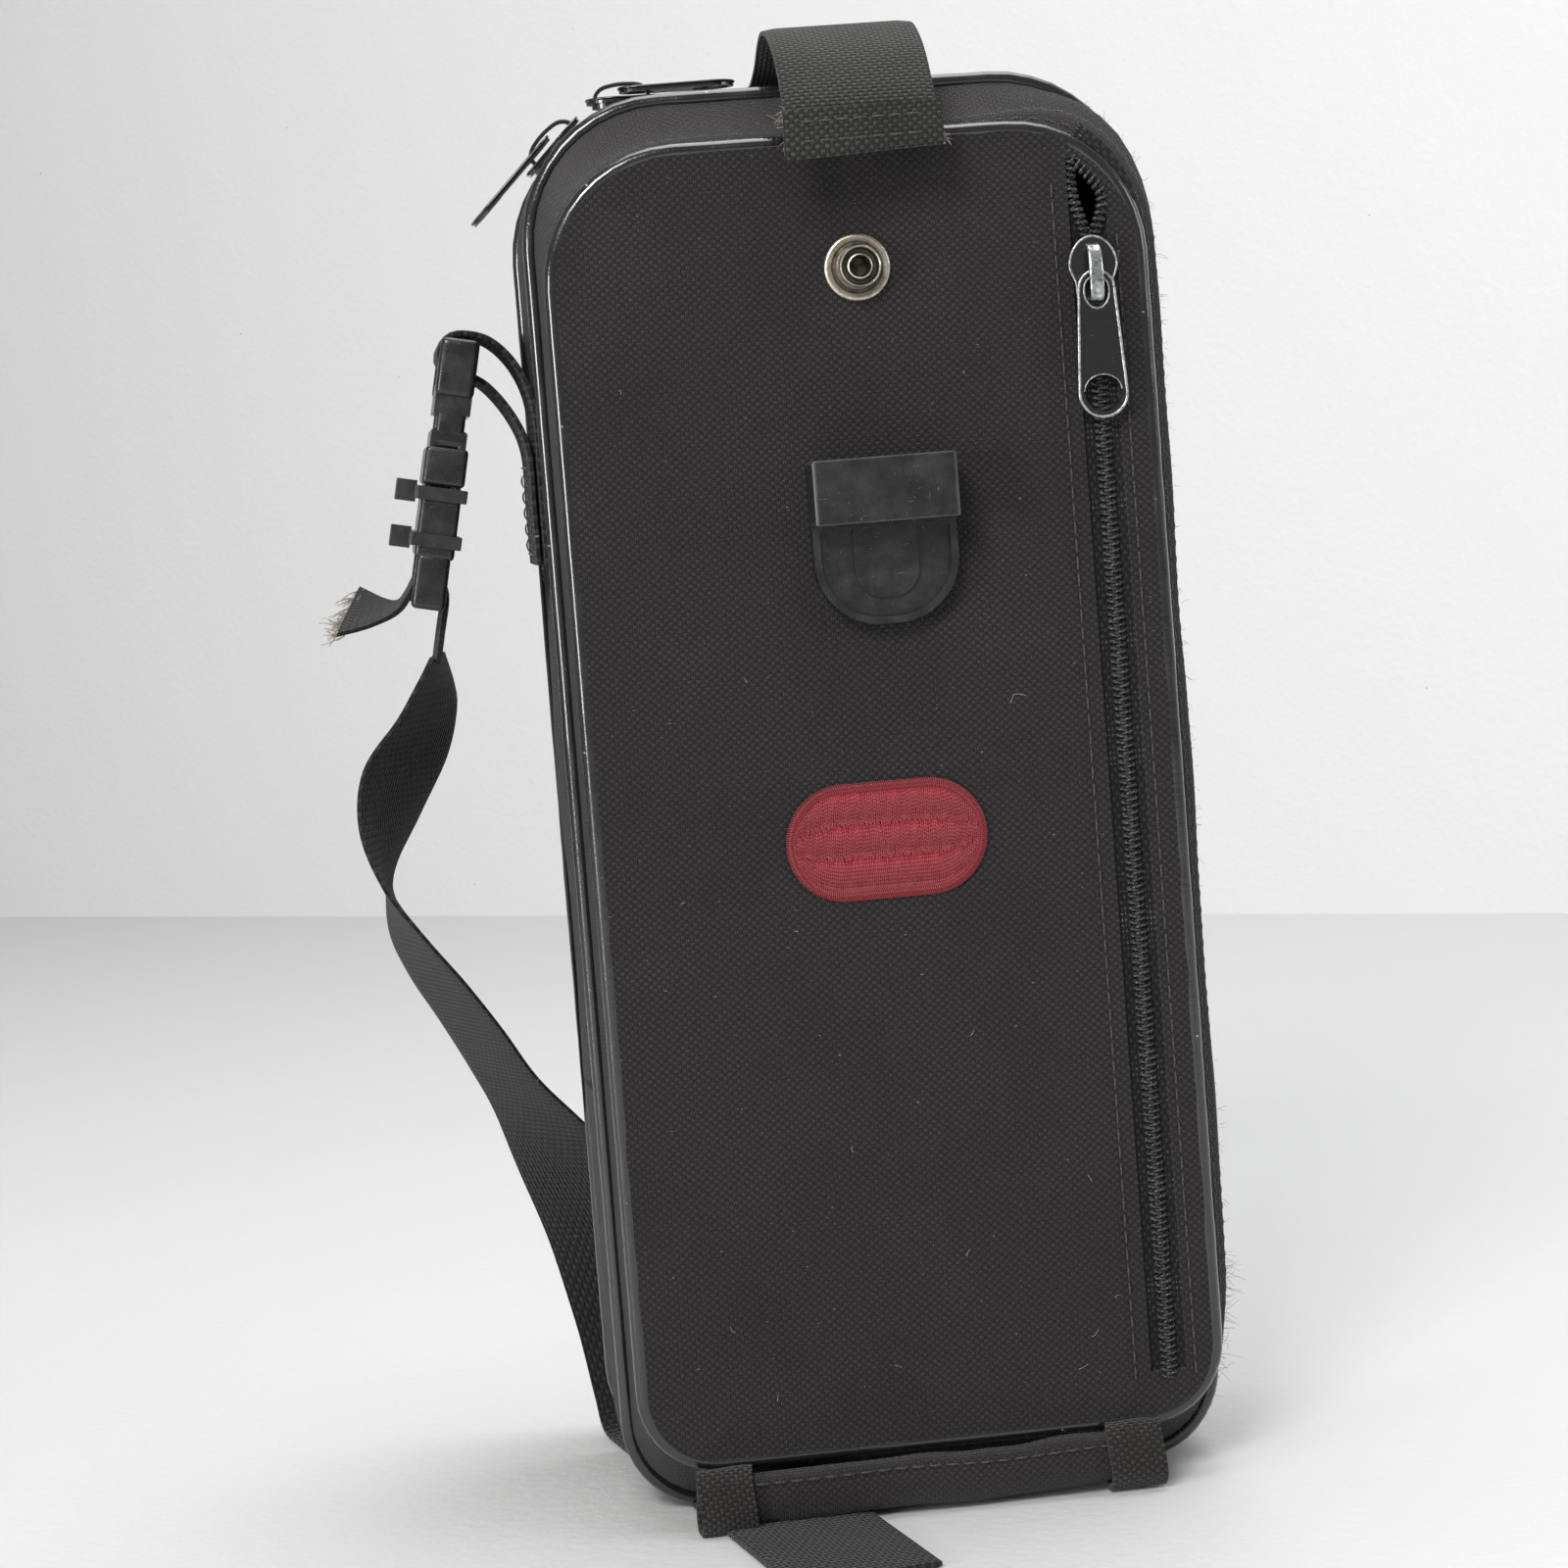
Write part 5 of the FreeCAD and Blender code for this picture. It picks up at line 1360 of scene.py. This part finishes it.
def zip_slider(name, node, place, depth, edge, bridge_finish):
    """A slider: shield plate, waist, a rim along its edge and a bright bridge for its pull."""
    shield = (arc((0, 1.9), 4.45, 5.6, 0, 180, 25)
              + [(-4.1, 0.9), (-3.4, -0.8), (-3.2, -5.5), (-2.4, -6.8)]
              + [(2.4, -6.8), (3.2, -5.5), (3.4, -0.8), (4.1, 0.9)])
    waist = [(u * 0.72, v * 0.86) for u, v in shield]
    plate = plate_piece(name, [shield], 0.4, 1.35, place, ENAMEL)
    core = plate_piece(name + "_core", [waist], -depth, 0.5, place, ENAMEL)
    bright = strands(name + "_edges", [rim(shield, 1.22, 0.26, place)], edge, 8)
    path = [(0, 5.9, 1.0), (0, 5.6, 2.2), (0, 4.2, 3.4), (0, 1.0, 4.0), (0, -2.4, 3.8),
            (0, -4.1, 2.8), (0, -4.5, 1.2)]
    across = tuple(place.col[0][:3])
    stations = [tuple(point) + across for point in placed(place, path)]
    bridge = ribbon(name + "_bridge", stations, 1.25, 0.75, bridge_finish, step=0.5)
    for item in (plate, core, bright, bridge):
        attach(item, node)
    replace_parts(plate, node)


def sliders():
    """The pocket's slider and pull, and the two on the main zip."""
    slope = math.sqrt(0.5)
    zip_slider("pocket_slider_body", "pocket_slider",
               axes((45.5, -34.0, 230), (0, 0, 1), (0, -1, 0)), 0.5, BARE_EDGE, BRIDGE)
    zip_pull("pocket_pull_tab", "pocket_pull",
             axes((45.5, -36.3, 230), (0, 0, 1), (0, -1, 0)), 26, BARE_EDGE)
    zip_slider("main_slider_top_body", "main_slider_top",
               axes((-36.5, ZIP_Y, 270.4), (-1, 0, 0), (0, 0, 1)), 0.5, ENAMEL, ENAMEL)
    zip_pull("main_pull_top_tab", "main_pull_top",
             axes((-36.5, ZIP_Y, 273.1), (-1, 0, 0), (0, 0, 1)), 21, ENAMEL)
    left = Vector((-31.5, ZIP_Y, 243.5))
    out = Vector((-slope, 0, slope))
    zip_slider("main_slider_left_body", "main_slider_left",
               axes(left + out * 26.9, (slope, 0, slope), out), 0.5, ENAMEL, ENAMEL)
    zip_pull("main_pull_left_tab", "main_pull_left",
             axes(left + out * 29.6, (slope, 0, slope), out), 21, ENAMEL)


def snap():
    """The snap's stud: rolled flange, dark groove, hollow post with two bright lips."""
    x, z = 1.5, 235.0
    profile = [(0.01, -33.5), (6.1, -33.5), (6.3, -33.8), (6.2, -34.2), (5.8, -34.45),
               (5.3, -34.4), (4.9, -34.1), (4.4, -34.05), (4.1, -34.3), (4.0, -38.3),
               (3.9, -38.75), (3.7, -38.9), (3.45, -38.75), (3.3, -38.0), (3.1, -37.5),
               (2.7, -37.5), (2.5, -38.0), (2.3, -38.3), (2.05, -38.35), (1.85, -38.1),
               (1.7, -37.4), (1.6, -35.0), (0.01, -34.9)]
    turn = np.linspace(0, 2 * math.pi, 49)
    grid = np.empty((len(profile), len(turn), 3))
    for row, (size, y) in enumerate(profile):
        grid[row, :, 0] = x + size * np.cos(turn)
        grid[row, :, 1] = y
        grid[row, :, 2] = z + size * np.sin(turn)
    item = skin("snap_stud_lathe", grid, cloth_uv(grid), NICKEL)
    item.data.materials.append(TARNISH)
    for face in item.data.polygons:
        size = math.hypot(face.center.x / MM - x, face.center.z / MM - z)
        bright = size > 5.0 or 3.45 < size < 4.08 or 1.95 < size < 2.6
        face.material_index = 0 if bright else 1
    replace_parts(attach(item, "cover"), "snap_stud")


def moulding(name, low, high, round_off, material, body):
    """A moulded block of the buckle: its corners in the buckle's frame, edges rounded."""
    work = bmesh.new()
    bmesh.ops.create_cube(work, size=1.0)
    middle = [(a + b) / 2 for a, b in zip(low, high)]
    size = [b - a for a, b in zip(low, high)]
    for vertex in work.verts:
        vertex.co = Vector([m + c * s for m, c, s in zip(middle, vertex.co, size)])
        vertex.co.x *= 1 - 0.05 * abs(vertex.co.y) / 20
    bmesh.ops.bevel(work, geom=work.edges, offset=round_off, segments=4, profile=0.6,
                    affect="EDGES")
    mesh = bpy.data.meshes.new(name)
    work.to_mesh(mesh)
    work.free()
    turn = Matrix.Rotation(math.radians(12), 4, "Y")
    mesh.transform(Matrix.Scale(MM, 4) @ Matrix.Translation((-72, 17, 226)) @ turn)
    mesh.materials.append(material)
    mesh.shade_smooth()
    mesh.set_sharp_from_angle(angle=math.radians(40))
    item = bpy.data.objects.new(name, mesh)
    bpy.context.scene.collection.objects.link(item)
    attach(item, body)


def buckle_mouldings():
    """The thick moulded rims and ends of the side-release buckle."""
    for side, low, high in (("front", -18.7, -14.3), ("rear", 14.3, 18.7)):
        moulding(f"buckle_bar_end_{side}", (-3.9, low, -8.6), (3.9, high, 2.6), 1.3,
                 BUCKLE, "buckle")
        moulding(f"buckle_prong_side_{side}", (-2.9, low + 0.8, -18.6), (2.9, high - 0.8, -8.0),
                 1.1, BUCKLE, "buckle")
        moulding(f"buckle_lower_rail_{side}", (-3.4, low, -49.8), (3.4, high, -39.0), 1.2,
                 BUCKLE, "buckle")
    moulding("buckle_mouth", (-4.3, -19.0, -25.8), (4.3, 19.0, -18.4), 1.0, BUCKLE, "buckle")
    moulding("buckle_shell", (-4.0, -18.7, -40.0), (4.0, 18.7, -26.2), 1.0, BUCKLE, "buckle")


camera()
stage()
case_walls()
front_band()
back_pad()
cover_wall()
pipings()
pocket_side()
pocket_panel()
main_zip()
pocket_zip()
hem()
satin_patch()
lint()
fuzz()
top_tab()
strap_stub()
strap_tail()
shoulder_strap()
hardware()
snap()
buckle_mouldings()
sliders()
